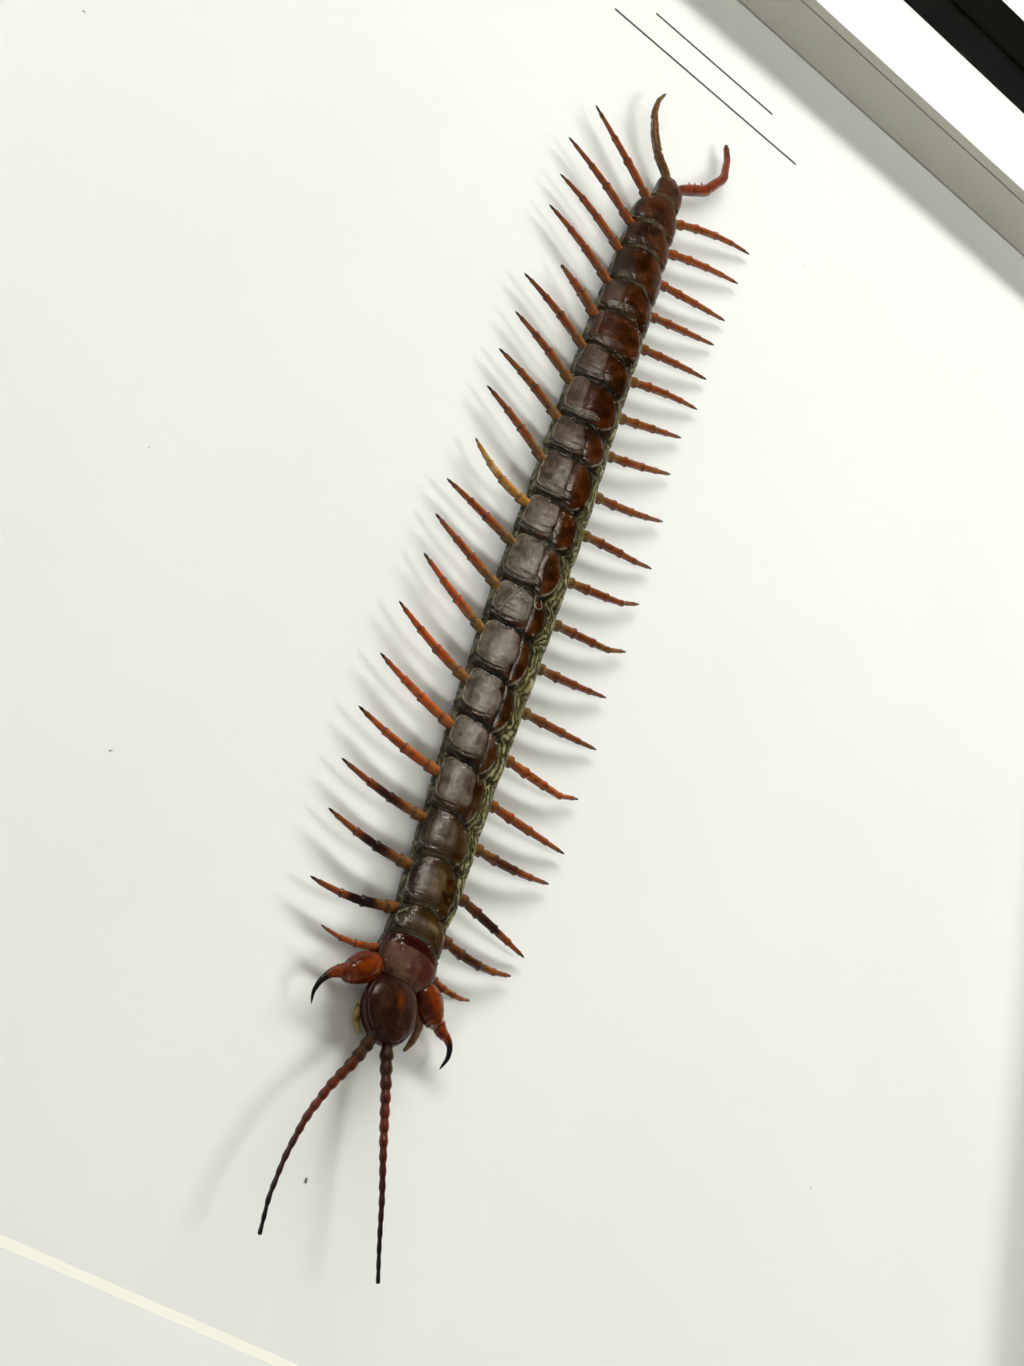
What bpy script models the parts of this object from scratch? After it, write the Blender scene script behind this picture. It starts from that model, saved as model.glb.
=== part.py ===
"""A giant centipede, dried and mounted on white card, in a black shadow-box frame.

The frame lies on its back. +Z points out of the picture's face, +Y towards the top rail and
the centipede's head, +X to the right of someone who looks at the face. Z = 0 is the back.
"""

import math

import bmesh
import bpy
import numpy as np
from mathutils import Matrix, Vector

MM = 0.001
GAP = 0.3 * MM

# Frame, from the window outwards
WINDOW_WIDTH = 254 * MM
WINDOW_HEIGHT = 305 * MM
MAT_SHOWN = 27 * MM
LIP_FACE = 19 * MM
RABBET = 6 * MM
FRAME_DEPTH = 31 * MM
ARRIS = 0.8 * MM
MITRE_GAP = 0.21 * MM
SHEET_CLEARANCE = 0.5 * MM

SIGHT_WIDTH = WINDOW_WIDTH + 2 * MAT_SHOWN
SIGHT_HEIGHT = WINDOW_HEIGHT + 2 * MAT_SHOWN
OUTER_WIDTH = SIGHT_WIDTH + 2 * LIP_FACE
OUTER_HEIGHT = SIGHT_HEIGHT + 2 * LIP_FACE
SHEET_WIDTH = SIGHT_WIDTH + 2 * (RABBET - SHEET_CLEARANCE)
SHEET_HEIGHT = SIGHT_HEIGHT + 2 * (RABBET - SHEET_CLEARANCE)

# Layers, from the back up
BACK_RECESS = 3.5 * MM
BACK_BOARD_THICK = 3.0 * MM
CARD_THICK = 2.0 * MM
SPACER_THICK = 9.6 * MM
MAT_THICK = 1.4 * MM
GLASS_THICK = 2.0 * MM

CARD_Z = BACK_RECESS + BACK_BOARD_THICK + GAP
CARD_TOP = CARD_Z + CARD_THICK
SPACER_Z = CARD_TOP + GAP
MAT_Z = SPACER_Z + SPACER_THICK + GAP
GLASS_Z = MAT_Z + MAT_THICK + GAP
LIP_Z = GLASS_Z + GLASS_THICK + GAP

# Fittings on the back
POINT_LENGTH, POINT_WIDTH, POINT_THICK = 16 * MM, 6 * MM, 0.5 * MM
POINT_ALONG_SIDE, POINT_ALONG_END = 95 * MM, 75 * MM
HANGER_LENGTH, HANGER_WIDTH, HANGER_THICK = 46 * MM, 9 * MM, 0.8 * MM
HANGER_Y = 160 * MM
HANGER_RISE = 1.1 * MM
HANGER_BEND_START, HANGER_BEND_END = 16 * MM, 13 * MM
TOOTH_COUNT, TOOTH_PITCH, TOOTH_DEPTH = 11, 2.0 * MM, 1.2 * MM
NAIL_FROM_END = 3.5 * MM
NAIL_RADIUS, NAIL_HEAD_RADIUS, NAIL_CROWN_RADIUS = 0.8 * MM, 2.2 * MM, 1.6 * MM
NAIL_HEAD_THICK, NAIL_CROWN, NAIL_DEPTH, NAIL_POINT = 0.8 * MM, 0.25 * MM, 2.0 * MM, 0.4 * MM
CUT_OVER = 1.0 * MM
ROUND_SIDES = 12

# Centipede, in millimetres, with heights from the card. Tables are (y, value) from tail to head.
TRUNK_SIDES = 16
BELLY_UP, FLANK_UP = 0.3, 2.5
SPINE = [(-80, 3.2), (-76, 1.8), (-71, 1.9), (-62, 3.0), (-50, 3.6), (-20, 4.1), (10, 4.4), (45, 4.9), (65, 5.1),
         (85, 4.9), (98, 5.2), (103, 5.4)]
HALF_WIDTH = [(-80, 1.3), (-78.5, 2.2), (-74, 3.5), (-70, 4.6), (-62, 5.0), (-50, 5.3), (-35, 5.7), (-10, 5.9),
              (35, 5.9), (60, 5.4), (75, 4.9), (88, 4.5), (92, 4.4), (97, 5.2), (101, 4.4), (102.5, 3.1)]
BACK_UP = [(-80, 3.2), (-76, 4.2), (-68, 4.9), (-40, 5.7), (0, 6.1), (60, 6.0), (88, 5.5), (97, 5.5), (102.5, 4.2)]
# How steeply the trunk leans towards +X, and how far it narrows between one tergite and the next
LEAN = [(-80, 0.0), (-60, 0.06), (-30, 0.14), (60, 0.16), (88, 0.1), (96, 0.0)]
PINCH = [(-80, 0.1), (-50, 0.09), (-30, 0.05), (80, 0.03), (97, 0.06)]
# The form of one tergite: share of its length, share of the pinch, and how far its back sinks
TERGITE_FORM = (0.04, 1.0, 0.14), (0.3, 0.0, 0.02), (0.72, 0.0, 0.0), (0.96, 0.7, 0.03)
NECK_Y, TAIL_Y = 101.7, -80.0
TERGITE_BEHIND_LEG, LAST_TERGITE_PAST_LEG = 2.5, 1.0

# Pairs of walking legs from head to tail, then each leg's reach sideways and its sweep towards the tail
LEG_ROWS = [98, 91.5, 84.5, 76.5, 68.5, 60, 51, 42, 33, 24, 13.5, 4, -6.5, -15.5, -25, -34, -43.5, -53, -61.5, -72]
RIGHT_REACH = [8, 12.5, 13.5, 14, 14, 13.5, 13.5, 12.5, 13, 13.5, 11.5, 13, 13.5, 13, 14, 8.5, 14.5, 15, 16.5, 16.5]
RIGHT_SWEEP = [-1, -2, 1.5, 1.5, 2.5, 4, 5, 6.5, 5.5, 4, 4.5, 6.5, 5, 6, 6, 5, 7, 6.5, 8.5, 11.5]
LEFT_REACH = [6.5, 12, 13, 13.5, 14.5, 14, 14.5, 13.5, 14.5, 14.5, 15, 14.5, 13.5, 13.5, 15, 15, 14.5, 15.5, 16, 17.5]
LEFT_SWEEP = [0.5, 0.5, -3, 2, 0, 1.5, 2.5, 3.5, 5, 6.5, 4.5, 6, 6.5, 7, 6.5, 6, 6, 4.5, 7.5, 8.5]
# Height of a leg's root and foot, its bow towards the head, and its arch
RIGHT_STANCE = 2.6, 2.0, 0.5, 0.4
LEFT_STANCE = 3.0, 1.2, 1.0, 0.5
FRONT_BOW = 1.3, 1.2, 0.9, 0.8
PALE_ROW, PALE_BOW = 10, 1.6
BROKEN_ROW, BROKEN_RADII = 15, (0.55, 0.5)
LEG_JOINTS = 0.0, 0.24, 0.5, 0.74, 1.0
LEG_RADII = 0.95, 0.95, 0.88, 0.72, 0.5, 0.14
LEG_FROM_TRUNK, LEG_IN_TRUNK = 0.5, 2.5
FIRST_LEG_SIZE, FRONT_LEG_SIZE, LEG_GROWTH = 0.62, 0.92, 0.1

HEAD_CENTRE, HEAD_HALF, HEAD_TURN = (5.2, 105.5, 2.9), (4.1, 5.0, 2.1), 10
RIGHT_BULB, LEFT_BULB = (11.3, 101.6, 2.8), (-0.6, 101.6, 2.4)
RIGHT_BULB_TURN, LEFT_BULB_TURN = 45, 128
BULB_HALF = 3.4, 2.1, 1.9
OVAL_SEGMENTS, OVAL_RINGS = 14, 9
RIGHT_ANTENNA = [(6.3, 108.5, 2.8), (7.2, 111.2, 3.1), (8.5, 114.5, 3.5), (10.9, 119.3, 4.0), (12.8, 124.4, 4.6),
                 (14.0, 130.1, 5.3), (14.6, 135.6, 6.0), (14.4, 140.6, 6.6)]
LEFT_ANTENNA = [(4.6, 108.5, 2.8), (4.2, 111.2, 3.1), (3.2, 115.1, 3.5), (2.1, 119.5, 4.0), (0.9, 124.6, 4.6),
                (-0.3, 129.6, 5.3), (-1.4, 135.0, 6.0), (-2.6, 139.9, 6.6)]
BEAD_COUNT, BEAD_ROOT, BEAD_FULL, BEAD_WAIST = 17, 0.12, 0.8, 0.8
ANTENNA_RADIUS, ANTENNA_TIP_RADIUS, ANTENNA_END_RADIUS = 0.95, 0.34, 0.2
RIGHT_CLAW = [(12.8, 103.2, 2.9), (14.2, 103.9, 2.9), (15.5, 105.0, 2.9), (16.4, 106.5, 2.8), (16.7, 108.2, 2.5),
              (16.2, 109.8, 2.2)]
LEFT_CLAW = [(-2.0, 103.4, 2.3), (-3.0, 104.5, 2.3), (-4.3, 104.9, 2.2), (-5.2, 105.8, 2.0), (-5.4, 107.2, 1.8),
             (-4.7, 109.2, 1.6)]
CLAW_RADII = 1.3, 1.15, 0.75, 0.55, 0.35, 0.1
RIGHT_PALP = [(6.6, 103.5, 2.3), (9.1, 105.0, 1.8), (9.5, 107.0, 1.6), (9.1, 108.6, 1.5), (7.9, 110.0, 1.4)]
LEFT_PALP = [(3.0, 103.6, 2.4), (0.1, 104.7, 1.8), (0.2, 106.6, 1.6), (0.7, 108.3, 1.5), (1.2, 109.2, 1.4)]
PALP_RADII = 0.5, 0.6, 0.55, 0.5, 0.3
RIGHT_LAST_LEG = [(2.8, -77.5, 2.3), (4.2, -80.2, 2.5), (7.1, -82.9, 2.8), (9.3, -88.0, 3.0), (10.5, -93.7, 3.0),
                  (9.9, -101.0, 2.6)]
LEFT_LAST_LEG = [(1.2, -77.5, 2.3), (-0.6, -80.6, 2.2), (-5.8, -85.7, 2.0), (-9.4, -93.8, 1.8), (-9.0, -99.0, 1.8),
                 (-7.7, -103.3, 1.8)]
RIGHT_LAST_RADII = 0.9, 0.95, 0.9, 0.75, 0.6, 0.16
LEFT_LAST_RADII = 0.9, 1.05, 1.0, 0.9, 0.7, 0.55


def clear_scene():
    for old in list(bpy.data.objects):
        bpy.data.objects.remove(old)


def new_collection(name, hidden=False):
    group = bpy.data.collections.new(name)
    group.hide_render = hidden
    bpy.context.scene.collection.children.link(group)
    return group


def material(name, colour, roughness, metallic=0.0, transmission=0.0):
    made = bpy.data.materials.new(name)
    made.use_nodes = True
    shader = made.node_tree.nodes["Principled BSDF"]
    shader.inputs["Base Color"].default_value = (*colour, 1)
    shader.inputs["Roughness"].default_value = roughness
    shader.inputs["Metallic"].default_value = metallic
    shader.inputs["Transmission Weight"].default_value = transmission
    return made


def add_object(name, form, group, place=(0, 0, 0), turn=0.0, look=None):
    """An object from a bmesh, its faces turned out, standing at a place and turned about Z."""
    bmesh.ops.recalc_face_normals(form, faces=form.faces)
    mesh = bpy.data.meshes.new(name)
    form.to_mesh(mesh)
    form.free()
    made = bpy.data.objects.new(name, mesh)
    made.location = place
    made.rotation_euler.z = math.radians(turn)
    group.objects.link(made)
    if look:
        mesh.materials.append(look)
    if group.hide_render:
        made.hide_render = True
        made.display_type = "WIRE"
    return made


def add_box(name, size, place, group, look):
    """A box of a given size, with its place at the middle of its underside."""
    form = bmesh.new()
    bmesh.ops.create_cube(form, size=1.0)
    bmesh.ops.translate(form, verts=form.verts, vec=(0, 0, 0.5))
    bmesh.ops.scale(form, verts=form.verts, vec=size)
    return add_object(name, form, group, place, look=look)


def cut(piece, cutter):
    change = piece.modifiers.new("cut", "BOOLEAN")
    change.operation = "DIFFERENCE"
    change.solver = "EXACT"
    change.object = cutter


# The four rails


def quarter_round(centre, start, end):
    angles = np.radians(np.linspace(start, end, 4))
    return [(centre[0] + ARRIS * math.cos(a), centre[1] + ARRIS * math.sin(a)) for a in angles]


def moulding_section():
    """Points (inwards, up) round the moulding: outer side, front face, lip, rabbet and back."""
    wall = LIP_FACE - RABBET
    return [
        (0.0, 0.0),
        *quarter_round((ARRIS, FRAME_DEPTH - ARRIS), 180, 90),
        *quarter_round((LIP_FACE - ARRIS, FRAME_DEPTH - ARRIS), 90, 0),
        (LIP_FACE, LIP_Z),
        (wall, LIP_Z),
        (wall, 0.0),
    ]


def add_rail(name, length, place, turn, group, look):
    """A length of moulding, mitred by sliding each end point in by its distance from the outer side."""
    form = bmesh.new()
    half = length / 2 - MITRE_GAP
    section = form.faces.new([form.verts.new((inward - half, inward, up)) for inward, up in moulding_section()])
    made = bmesh.ops.extrude_face_region(form, geom=[section])
    for point in made["geom"]:
        if isinstance(point, bmesh.types.BMVert):
            point.co.x = -point.co.x
    return add_object(name, form, group, place, turn, look)


def add_frame(group, black):
    add_rail("frame_rail_bottom", OUTER_WIDTH, (0, -OUTER_HEIGHT / 2, 0), 0, group, black)
    add_rail("frame_rail_right", OUTER_HEIGHT, (OUTER_WIDTH / 2, 0, 0), 90, group, black)
    add_rail("frame_rail_top", OUTER_WIDTH, (0, OUTER_HEIGHT / 2, 0), 180, group, black)
    add_rail("frame_rail_left", OUTER_HEIGHT, (-OUTER_WIDTH / 2, 0, 0), 270, group, black)


# The sheets and spacers inside the frame


def add_sheet(name, z, thick, group, look):
    return add_box(name, (SHEET_WIDTH, SHEET_HEIGHT, thick), (0, 0, z), group, look)


def add_mat(group, cutters, white):
    """The window mat. Its window is cut at 45 degrees, so it opens towards the glass."""
    mat = add_sheet("mat_board", MAT_Z, MAT_THICK, group, white)
    form = bmesh.new()
    rings = []
    for up in (-CUT_OVER, MAT_THICK + CUT_OVER):
        half_x, half_y = WINDOW_WIDTH / 2 + up, WINDOW_HEIGHT / 2 + up
        corners = ((-1, -1), (1, -1), (1, 1), (-1, 1))
        rings.append([form.verts.new((sx * half_x, sy * half_y, up)) for sx, sy in corners])
    form.faces.new(rings[0])
    form.faces.new(rings[1])
    for i in range(4):
        j = (i + 1) % 4
        form.faces.new((rings[0][i], rings[0][j], rings[1][j], rings[1][i]))
    cut(mat, add_object("mat_window_cutter", form, cutters, (0, 0, MAT_Z)))


def add_spacers(group, foam):
    """Foam strips round the window: two run right across, and two stand between them."""
    wide_x, wide_y = (SHEET_WIDTH - WINDOW_WIDTH) / 2, (SHEET_HEIGHT - WINDOW_HEIGHT) / 2
    for name, sign in (("spacer_bottom", -1), ("spacer_top", 1)):
        place = (0, sign * (WINDOW_HEIGHT + wide_y) / 2, SPACER_Z)
        add_box(name, (SHEET_WIDTH, wide_y, SPACER_THICK), place, group, foam)
    for name, sign in (("spacer_left", -1), ("spacer_right", 1)):
        place = (sign * (WINDOW_WIDTH + wide_x) / 2, 0, SPACER_Z)
        add_box(name, (wide_x, WINDOW_HEIGHT - 2 * GAP, SPACER_THICK), place, group, foam)


# The back


def add_points(group, steel):
    """Thin metal points that lie on the back board, each with its root end at the rabbet's side."""
    size_x = (POINT_LENGTH, POINT_WIDTH, POINT_THICK)
    size_y = (POINT_WIDTH, POINT_LENGTH, POINT_THICK)
    side_x = SIGHT_WIDTH / 2 + RABBET - GAP - POINT_LENGTH / 2
    end_y = SIGHT_HEIGHT / 2 + RABBET - GAP - POINT_LENGTH / 2
    places = [(sx * side_x, sy * POINT_ALONG_SIDE, size_x) for sx in (-1, 1) for sy in (-1, 1)]
    places += [(sx * POINT_ALONG_END, sy * end_y, size_y) for sy in (-1, 1) for sx in (-1, 1)]
    z = BACK_RECESS - GAP - POINT_THICK
    for number, (x, y, size) in enumerate(places, 1):
        add_box(f"back_point_{number}", size, (x, y, z), group, steel)


def hanger_outline():
    """A strip with small teeth along the middle of its lower edge, where a wall nail catches."""
    half_x, half_y = HANGER_LENGTH / 2, HANGER_WIDTH / 2
    first = -TOOTH_COUNT * TOOTH_PITCH / 2
    teeth = []
    for i in range(TOOTH_COUNT):
        teeth.append((first + i * TOOTH_PITCH, -half_y))
        teeth.append((first + (i + 0.5) * TOOTH_PITCH, -half_y + TOOTH_DEPTH))
    teeth.append((-first, -half_y))
    return [(-half_x, -half_y), *teeth, (half_x, -half_y), (half_x, half_y), (-half_x, half_y)]


def add_hanger(group, cutters, steel, board):
    """A saw-tooth hanger: its two ends lie on the board, and its middle stands off it."""
    form = bmesh.new()
    face = form.faces.new([form.verts.new((x, y, 0)) for x, y in hanger_outline()])
    made = bmesh.ops.extrude_face_region(form, geom=[face])
    top = [v for v in made["geom"] if isinstance(v, bmesh.types.BMVert)]
    bmesh.ops.translate(form, verts=top, vec=(0, 0, HANGER_THICK))
    for x in (-HANGER_BEND_START, -HANGER_BEND_END, HANGER_BEND_END, HANGER_BEND_START):
        geometry = form.verts[:] + form.edges[:] + form.faces[:]
        bmesh.ops.bisect_plane(form, geom=geometry, plane_co=(x, 0, 0), plane_no=(1, 0, 0))
    middle = (HANGER_BEND_START + HANGER_BEND_END) / 2
    for v in form.verts:
        if abs(v.co.x) < middle:
            v.co.z -= HANGER_RISE
    seat = BACK_RECESS - GAP - HANGER_THICK
    hanger = add_object("hanger", form, group, (0, HANGER_Y, seat), look=steel)
    for sign, side in ((-1, "left"), (1, "right")):
        x = sign * (HANGER_LENGTH / 2 - NAIL_FROM_END)
        add_nail(f"hanger_nail_{side}", (x, HANGER_Y, seat), group, steel)
        low = (x, HANGER_Y, seat - CUT_OVER)
        cut(hanger, add_drill(f"hanger_hole_{side}", low, HANGER_THICK + 2 * CUT_OVER, cutters))
        low = (x, HANGER_Y, BACK_RECESS - CUT_OVER)
        cut(board, add_drill(f"board_hole_{side}", low, CUT_OVER + NAIL_DEPTH + GAP, cutters))


def add_drill(name, place, depth, cutters):
    """A round cutter that stands on its place."""
    form = bmesh.new()
    radius = NAIL_RADIUS + GAP
    bmesh.ops.create_cone(form, cap_ends=True, segments=ROUND_SIDES, radius1=radius, radius2=radius, depth=depth)
    bmesh.ops.translate(form, verts=form.verts, vec=(0, 0, depth / 2))
    return add_object(name, form, cutters, place)


def add_nail(name, place, group, steel):
    """A turned nail: a low crowned head under the hanger, and a shank up into the board."""
    tip = BACK_RECESS + NAIL_DEPTH - place[2]
    head = -GAP
    rim = head - NAIL_HEAD_THICK + NAIL_CROWN
    profile = [(0, tip), (NAIL_RADIUS, tip - NAIL_POINT), (NAIL_RADIUS, head), (NAIL_HEAD_RADIUS, head),
               (NAIL_HEAD_RADIUS, rim), (NAIL_CROWN_RADIUS, head - NAIL_HEAD_THICK), (0, head - NAIL_HEAD_THICK)]
    mesh = bpy.data.meshes.new(name)
    mesh.from_pydata([(r, 0, z) for r, z in profile], [(i, i + 1) for i in range(len(profile) - 1)], [])
    mesh.materials.append(steel)
    nail = bpy.data.objects.new(name, mesh)
    nail.location = place
    group.objects.link(nail)
    turned = nail.modifiers.new("turned", "SCREW")
    turned.steps = ROUND_SIDES
    turned.render_steps = ROUND_SIDES
    turned.use_merge_vertices = True
    turned.merge_threshold = 0.00005
    turned.use_smooth_shade = False


# The centipede. Its pieces stand on the card, so their own heights start at its top.


def along(table, y):
    """A reading of a table of (y, value) pairs, averaged over a few millimetres so that it has no corners."""
    places, values = np.array(table).T
    return float(np.mean([np.interp(y + step, places, values) for step in (-1.5, 0, 1.5)]))


def tergite_edges():
    """Where each tergite ends: the neck, a little behind each pair of legs, and the tail."""
    edges = [row - TERGITE_BEHIND_LEG for row in LEG_ROWS[:-1]]
    return [NECK_Y, *edges, LEG_ROWS[-1] + LAST_TERGITE_PAST_LEG, TAIL_Y]


def trunk_ring(y, swell, lift):
    """One cross-section: a wide oval with a domed back and a nearly flat belly, leaning to +X."""
    angle = np.linspace(0, 2 * math.pi, TRUNK_SIDES, endpoint=False)
    across, rise = np.cos(angle), np.sin(angle)
    side = along(HALF_WIDTH, y) * swell * np.sign(across) * np.abs(across) ** 0.9
    dome = (along(BACK_UP, y) - FLANK_UP) * lift * np.abs(rise) ** 0.85
    up = FLANK_UP + np.where(rise > 0, dome, (FLANK_UP - BELLY_UP) * rise)
    up -= side * along(LEAN, y) * (up - BELLY_UP) / FLANK_UP
    return np.stack([along(SPINE, y) + side, np.full(TRUNK_SIDES, y), np.maximum(up, BELLY_UP)], axis=1)


def trunk_rings():
    """Rings from the neck to the tail: each tergite rises from under the one before and ends in a rim."""
    edges = tergite_edges()
    rings = []
    for front, rear in zip(edges[:-1], edges[1:]):
        pinch = along(PINCH, (front + rear) / 2)
        for share, narrow, sink in TERGITE_FORM:
            rings.append(trunk_ring(front + share * (rear - front), 1 - narrow * pinch, 1 - sink))
    return rings


def add_trunk(group, look):
    """The trunk, a loft through its rings with both ends closed."""
    form = bmesh.new()
    rings = [[form.verts.new(Vector(point) * MM) for point in ring] for ring in trunk_rings()]
    form.faces.new(rings[0])
    form.faces.new(rings[-1])
    for ring, after in zip(rings[:-1], rings[1:]):
        for i in range(TRUNK_SIDES):
            j = (i + 1) % TRUNK_SIDES
            form.faces.new((ring[i], ring[j], after[j], after[i]))
    trunk = add_object("centipede", form, group, (0, 0, CARD_TOP), look=look)
    trunk.data.shade_smooth()
    return trunk


def add_limb(name, points, radii, group):
    """A tapering limb: a curve with a radius at each point, made a mesh with its caps joined to it."""
    curve = bpy.data.curves.new(name, "CURVE")
    curve.dimensions = "3D"
    curve.bevel_depth = MM
    curve.bevel_resolution = 1
    curve.use_fill_caps = True
    line = curve.splines.new("POLY")
    line.points.add(len(points) - 1)
    for point, place, radius in zip(line.points, points, radii):
        point.co = (*(Vector(place) * MM), 1)
        point.radius = radius
    guide = bpy.data.objects.new(name + "_guide", curve)
    guide.location.z = CARD_TOP
    group.objects.link(guide)
    graph = bpy.context.evaluated_depsgraph_get()
    form = bmesh.new()
    form.from_mesh(bpy.data.meshes.new_from_object(guide.evaluated_get(graph)))
    bmesh.ops.remove_doubles(form, verts=form.verts, dist=0.01 * MM)
    limb = add_object(name, form, group)
    limb.matrix_world = guide.matrix_world
    bpy.data.objects.remove(guide)


def add_oval(name, centre, half, turn, group):
    form = bmesh.new()
    bmesh.ops.create_uvsphere(form, u_segments=OVAL_SEGMENTS, v_segments=OVAL_RINGS, radius=1.0,
                              matrix=Matrix.Diagonal((*(Vector(half) * MM), 1)))
    add_object(name, form, group, Vector(centre) * MM + Vector((0, 0, CARD_TOP)), turn)


def walking_leg(row, sign, reach, sweep, stance):
    """Points along one leg: out from inside the trunk, bowed towards the head, and down to its foot."""
    root_up, foot_up, bow, rise = stance
    if row < len(FRONT_BOW):
        bow = FRONT_BOW[row]
    if row == PALE_ROW and sign > 0:
        bow = PALE_BOW
    y = LEG_ROWS[row]
    root_x = along(SPINE, y) + sign * (along(HALF_WIDTH, y) + LEG_FROM_TRUNK)
    points = [(root_x - sign * LEG_IN_TRUNK, y, root_up)]
    for share in LEG_JOINTS:
        arch = 4 * share * (1 - share)
        up = root_up + (foot_up - root_up) * share + rise * arch
        points.append((root_x + sign * reach * share, y - sweep * share + bow * arch, up))
    return points


def leg_radii(row, sign):
    """Radii along one leg: the first pair is slight, those behind grow, and one leg has lost its end."""
    size = FIRST_LEG_SIZE if row == 0 else FRONT_LEG_SIZE + LEG_GROWTH * row / len(LEG_ROWS)
    radii = [size * radius for radius in LEG_RADII]
    if row == BROKEN_ROW and sign > 0:
        radii[-2:] = BROKEN_RADII
    return radii


def add_walking_legs(group):
    sides = ("right", 1, RIGHT_REACH, RIGHT_SWEEP, RIGHT_STANCE), ("left", -1, LEFT_REACH, LEFT_SWEEP, LEFT_STANCE)
    for side, sign, reach, sweep, stance in sides:
        for row in range(len(LEG_ROWS)):
            points = walking_leg(row, sign, reach[row], sweep[row], stance)
            add_limb(f"leg_{row + 1}_{side}", points, leg_radii(row, sign), group)


def antenna(path):
    """Points and radii of a beaded antenna: each bead is narrow at its root and full near its end."""
    path = np.array(path)
    steps = np.concatenate([[0], np.cumsum(np.linalg.norm(np.diff(path, axis=0), axis=1))])
    beads = np.arange(BEAD_COUNT)
    shares = np.sort(np.concatenate([beads + BEAD_ROOT, beads + BEAD_FULL])) / BEAD_COUNT
    radii = ANTENNA_RADIUS + (ANTENNA_TIP_RADIUS - ANTENNA_RADIUS) * shares
    radii[0::2] *= BEAD_WAIST
    ends = np.concatenate([[0], shares, [1]]) * steps[-1]
    points = np.stack([np.interp(ends, steps, path[:, i]) for i in range(3)], axis=1)
    return points, np.concatenate([radii[:1], radii, [ANTENNA_END_RADIUS]])


def add_centipede(group, limbs, shell):
    """The whole animal as one body: its trunk, with every limb grown onto it."""
    trunk = add_trunk(group, shell)
    add_walking_legs(limbs)
    add_limb("last_leg_right", RIGHT_LAST_LEG, RIGHT_LAST_RADII, limbs)
    add_limb("last_leg_left", LEFT_LAST_LEG, LEFT_LAST_RADII, limbs)
    add_limb("antenna_right", *antenna(RIGHT_ANTENNA), limbs)
    add_limb("antenna_left", *antenna(LEFT_ANTENNA), limbs)
    add_limb("claw_right", RIGHT_CLAW, CLAW_RADII, limbs)
    add_limb("claw_left", LEFT_CLAW, CLAW_RADII, limbs)
    add_limb("palp_right", RIGHT_PALP, PALP_RADII, limbs)
    add_limb("palp_left", LEFT_PALP, PALP_RADII, limbs)
    add_oval("head", HEAD_CENTRE, HEAD_HALF, HEAD_TURN, limbs)
    add_oval("bulb_right", RIGHT_BULB, BULB_HALF, RIGHT_BULB_TURN, limbs)
    add_oval("bulb_left", LEFT_BULB, BULB_HALF, LEFT_BULB_TURN, limbs)
    joined = trunk.modifiers.new("grown together", "BOOLEAN")
    joined.operation = "UNION"
    joined.solver = "EXACT"
    joined.operand_type = "COLLECTION"
    joined.collection = limbs


def add_parent(group):
    """An empty at the back's middle that carries every piece."""
    holder = bpy.data.objects.new("framed_giant_centipede", None)
    for piece in list(group.objects):
        piece.parent = holder
    group.objects.link(holder)


def main():
    clear_scene()
    group = new_collection("framed_giant_centipede")
    cutters = new_collection("cutters", hidden=True)
    limbs = new_collection("limbs", hidden=True)
    black = material("black painted wood", (0.006, 0.007, 0.005), 0.4)
    white = material("white mat board", (0.87, 0.88, 0.85), 0.85)
    foam = material("white foam board", (0.83, 0.83, 0.8), 0.8)
    card = material("white card", (0.88, 0.89, 0.85), 0.85)
    clear = material("clear glass", (1, 1, 1), 0.02, transmission=1.0)
    hardboard = material("brown hardboard", (0.24, 0.14, 0.07), 0.75)
    steel = material("zinc plated steel", (0.62, 0.62, 0.6), 0.35, metallic=1.0)
    shell = material("dried brown shell", (0.07, 0.022, 0.012), 0.35)
    add_frame(group, black)
    board = add_sheet("back_board", BACK_RECESS, BACK_BOARD_THICK, group, hardboard)
    add_sheet("backing_card", CARD_Z, CARD_THICK, group, card)
    add_spacers(group, foam)
    add_mat(group, cutters, white)
    add_sheet("glass_pane", GLASS_Z, GLASS_THICK, group, clear)
    add_points(group, steel)
    add_hanger(group, cutters, steel, board)
    add_centipede(group, limbs, shell)
    add_parent(group)


main()
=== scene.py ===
"""The looks of a giant centipede, dried and mounted on white card in a black shadow-box frame.

The frame lies on its back: +Z points out of the picture's face, +Y towards the head, +X to the
right of someone who looks at the face. Lengths are metres, and the animal's own are millimetres
with heights from the card, until build_piece puts them in place.
"""

import functools
import math

import bpy
import numpy as np
from mathutils import Matrix, Vector


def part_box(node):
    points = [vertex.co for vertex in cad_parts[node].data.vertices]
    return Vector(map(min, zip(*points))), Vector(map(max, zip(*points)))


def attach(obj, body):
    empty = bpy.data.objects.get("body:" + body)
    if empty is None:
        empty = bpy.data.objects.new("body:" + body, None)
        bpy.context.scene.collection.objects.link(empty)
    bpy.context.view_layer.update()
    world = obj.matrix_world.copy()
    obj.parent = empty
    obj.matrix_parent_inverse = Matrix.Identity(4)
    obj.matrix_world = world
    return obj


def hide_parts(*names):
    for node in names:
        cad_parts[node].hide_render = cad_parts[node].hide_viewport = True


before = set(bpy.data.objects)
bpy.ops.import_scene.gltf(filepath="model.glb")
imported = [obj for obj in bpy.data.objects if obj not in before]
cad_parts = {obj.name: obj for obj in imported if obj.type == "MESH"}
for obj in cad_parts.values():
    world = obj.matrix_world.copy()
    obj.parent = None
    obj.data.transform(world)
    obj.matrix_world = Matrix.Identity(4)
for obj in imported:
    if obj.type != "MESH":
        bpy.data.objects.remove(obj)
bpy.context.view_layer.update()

MM = 0.001
CARD_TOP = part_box("backing_card")[1].z


# Shared helpers


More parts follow.
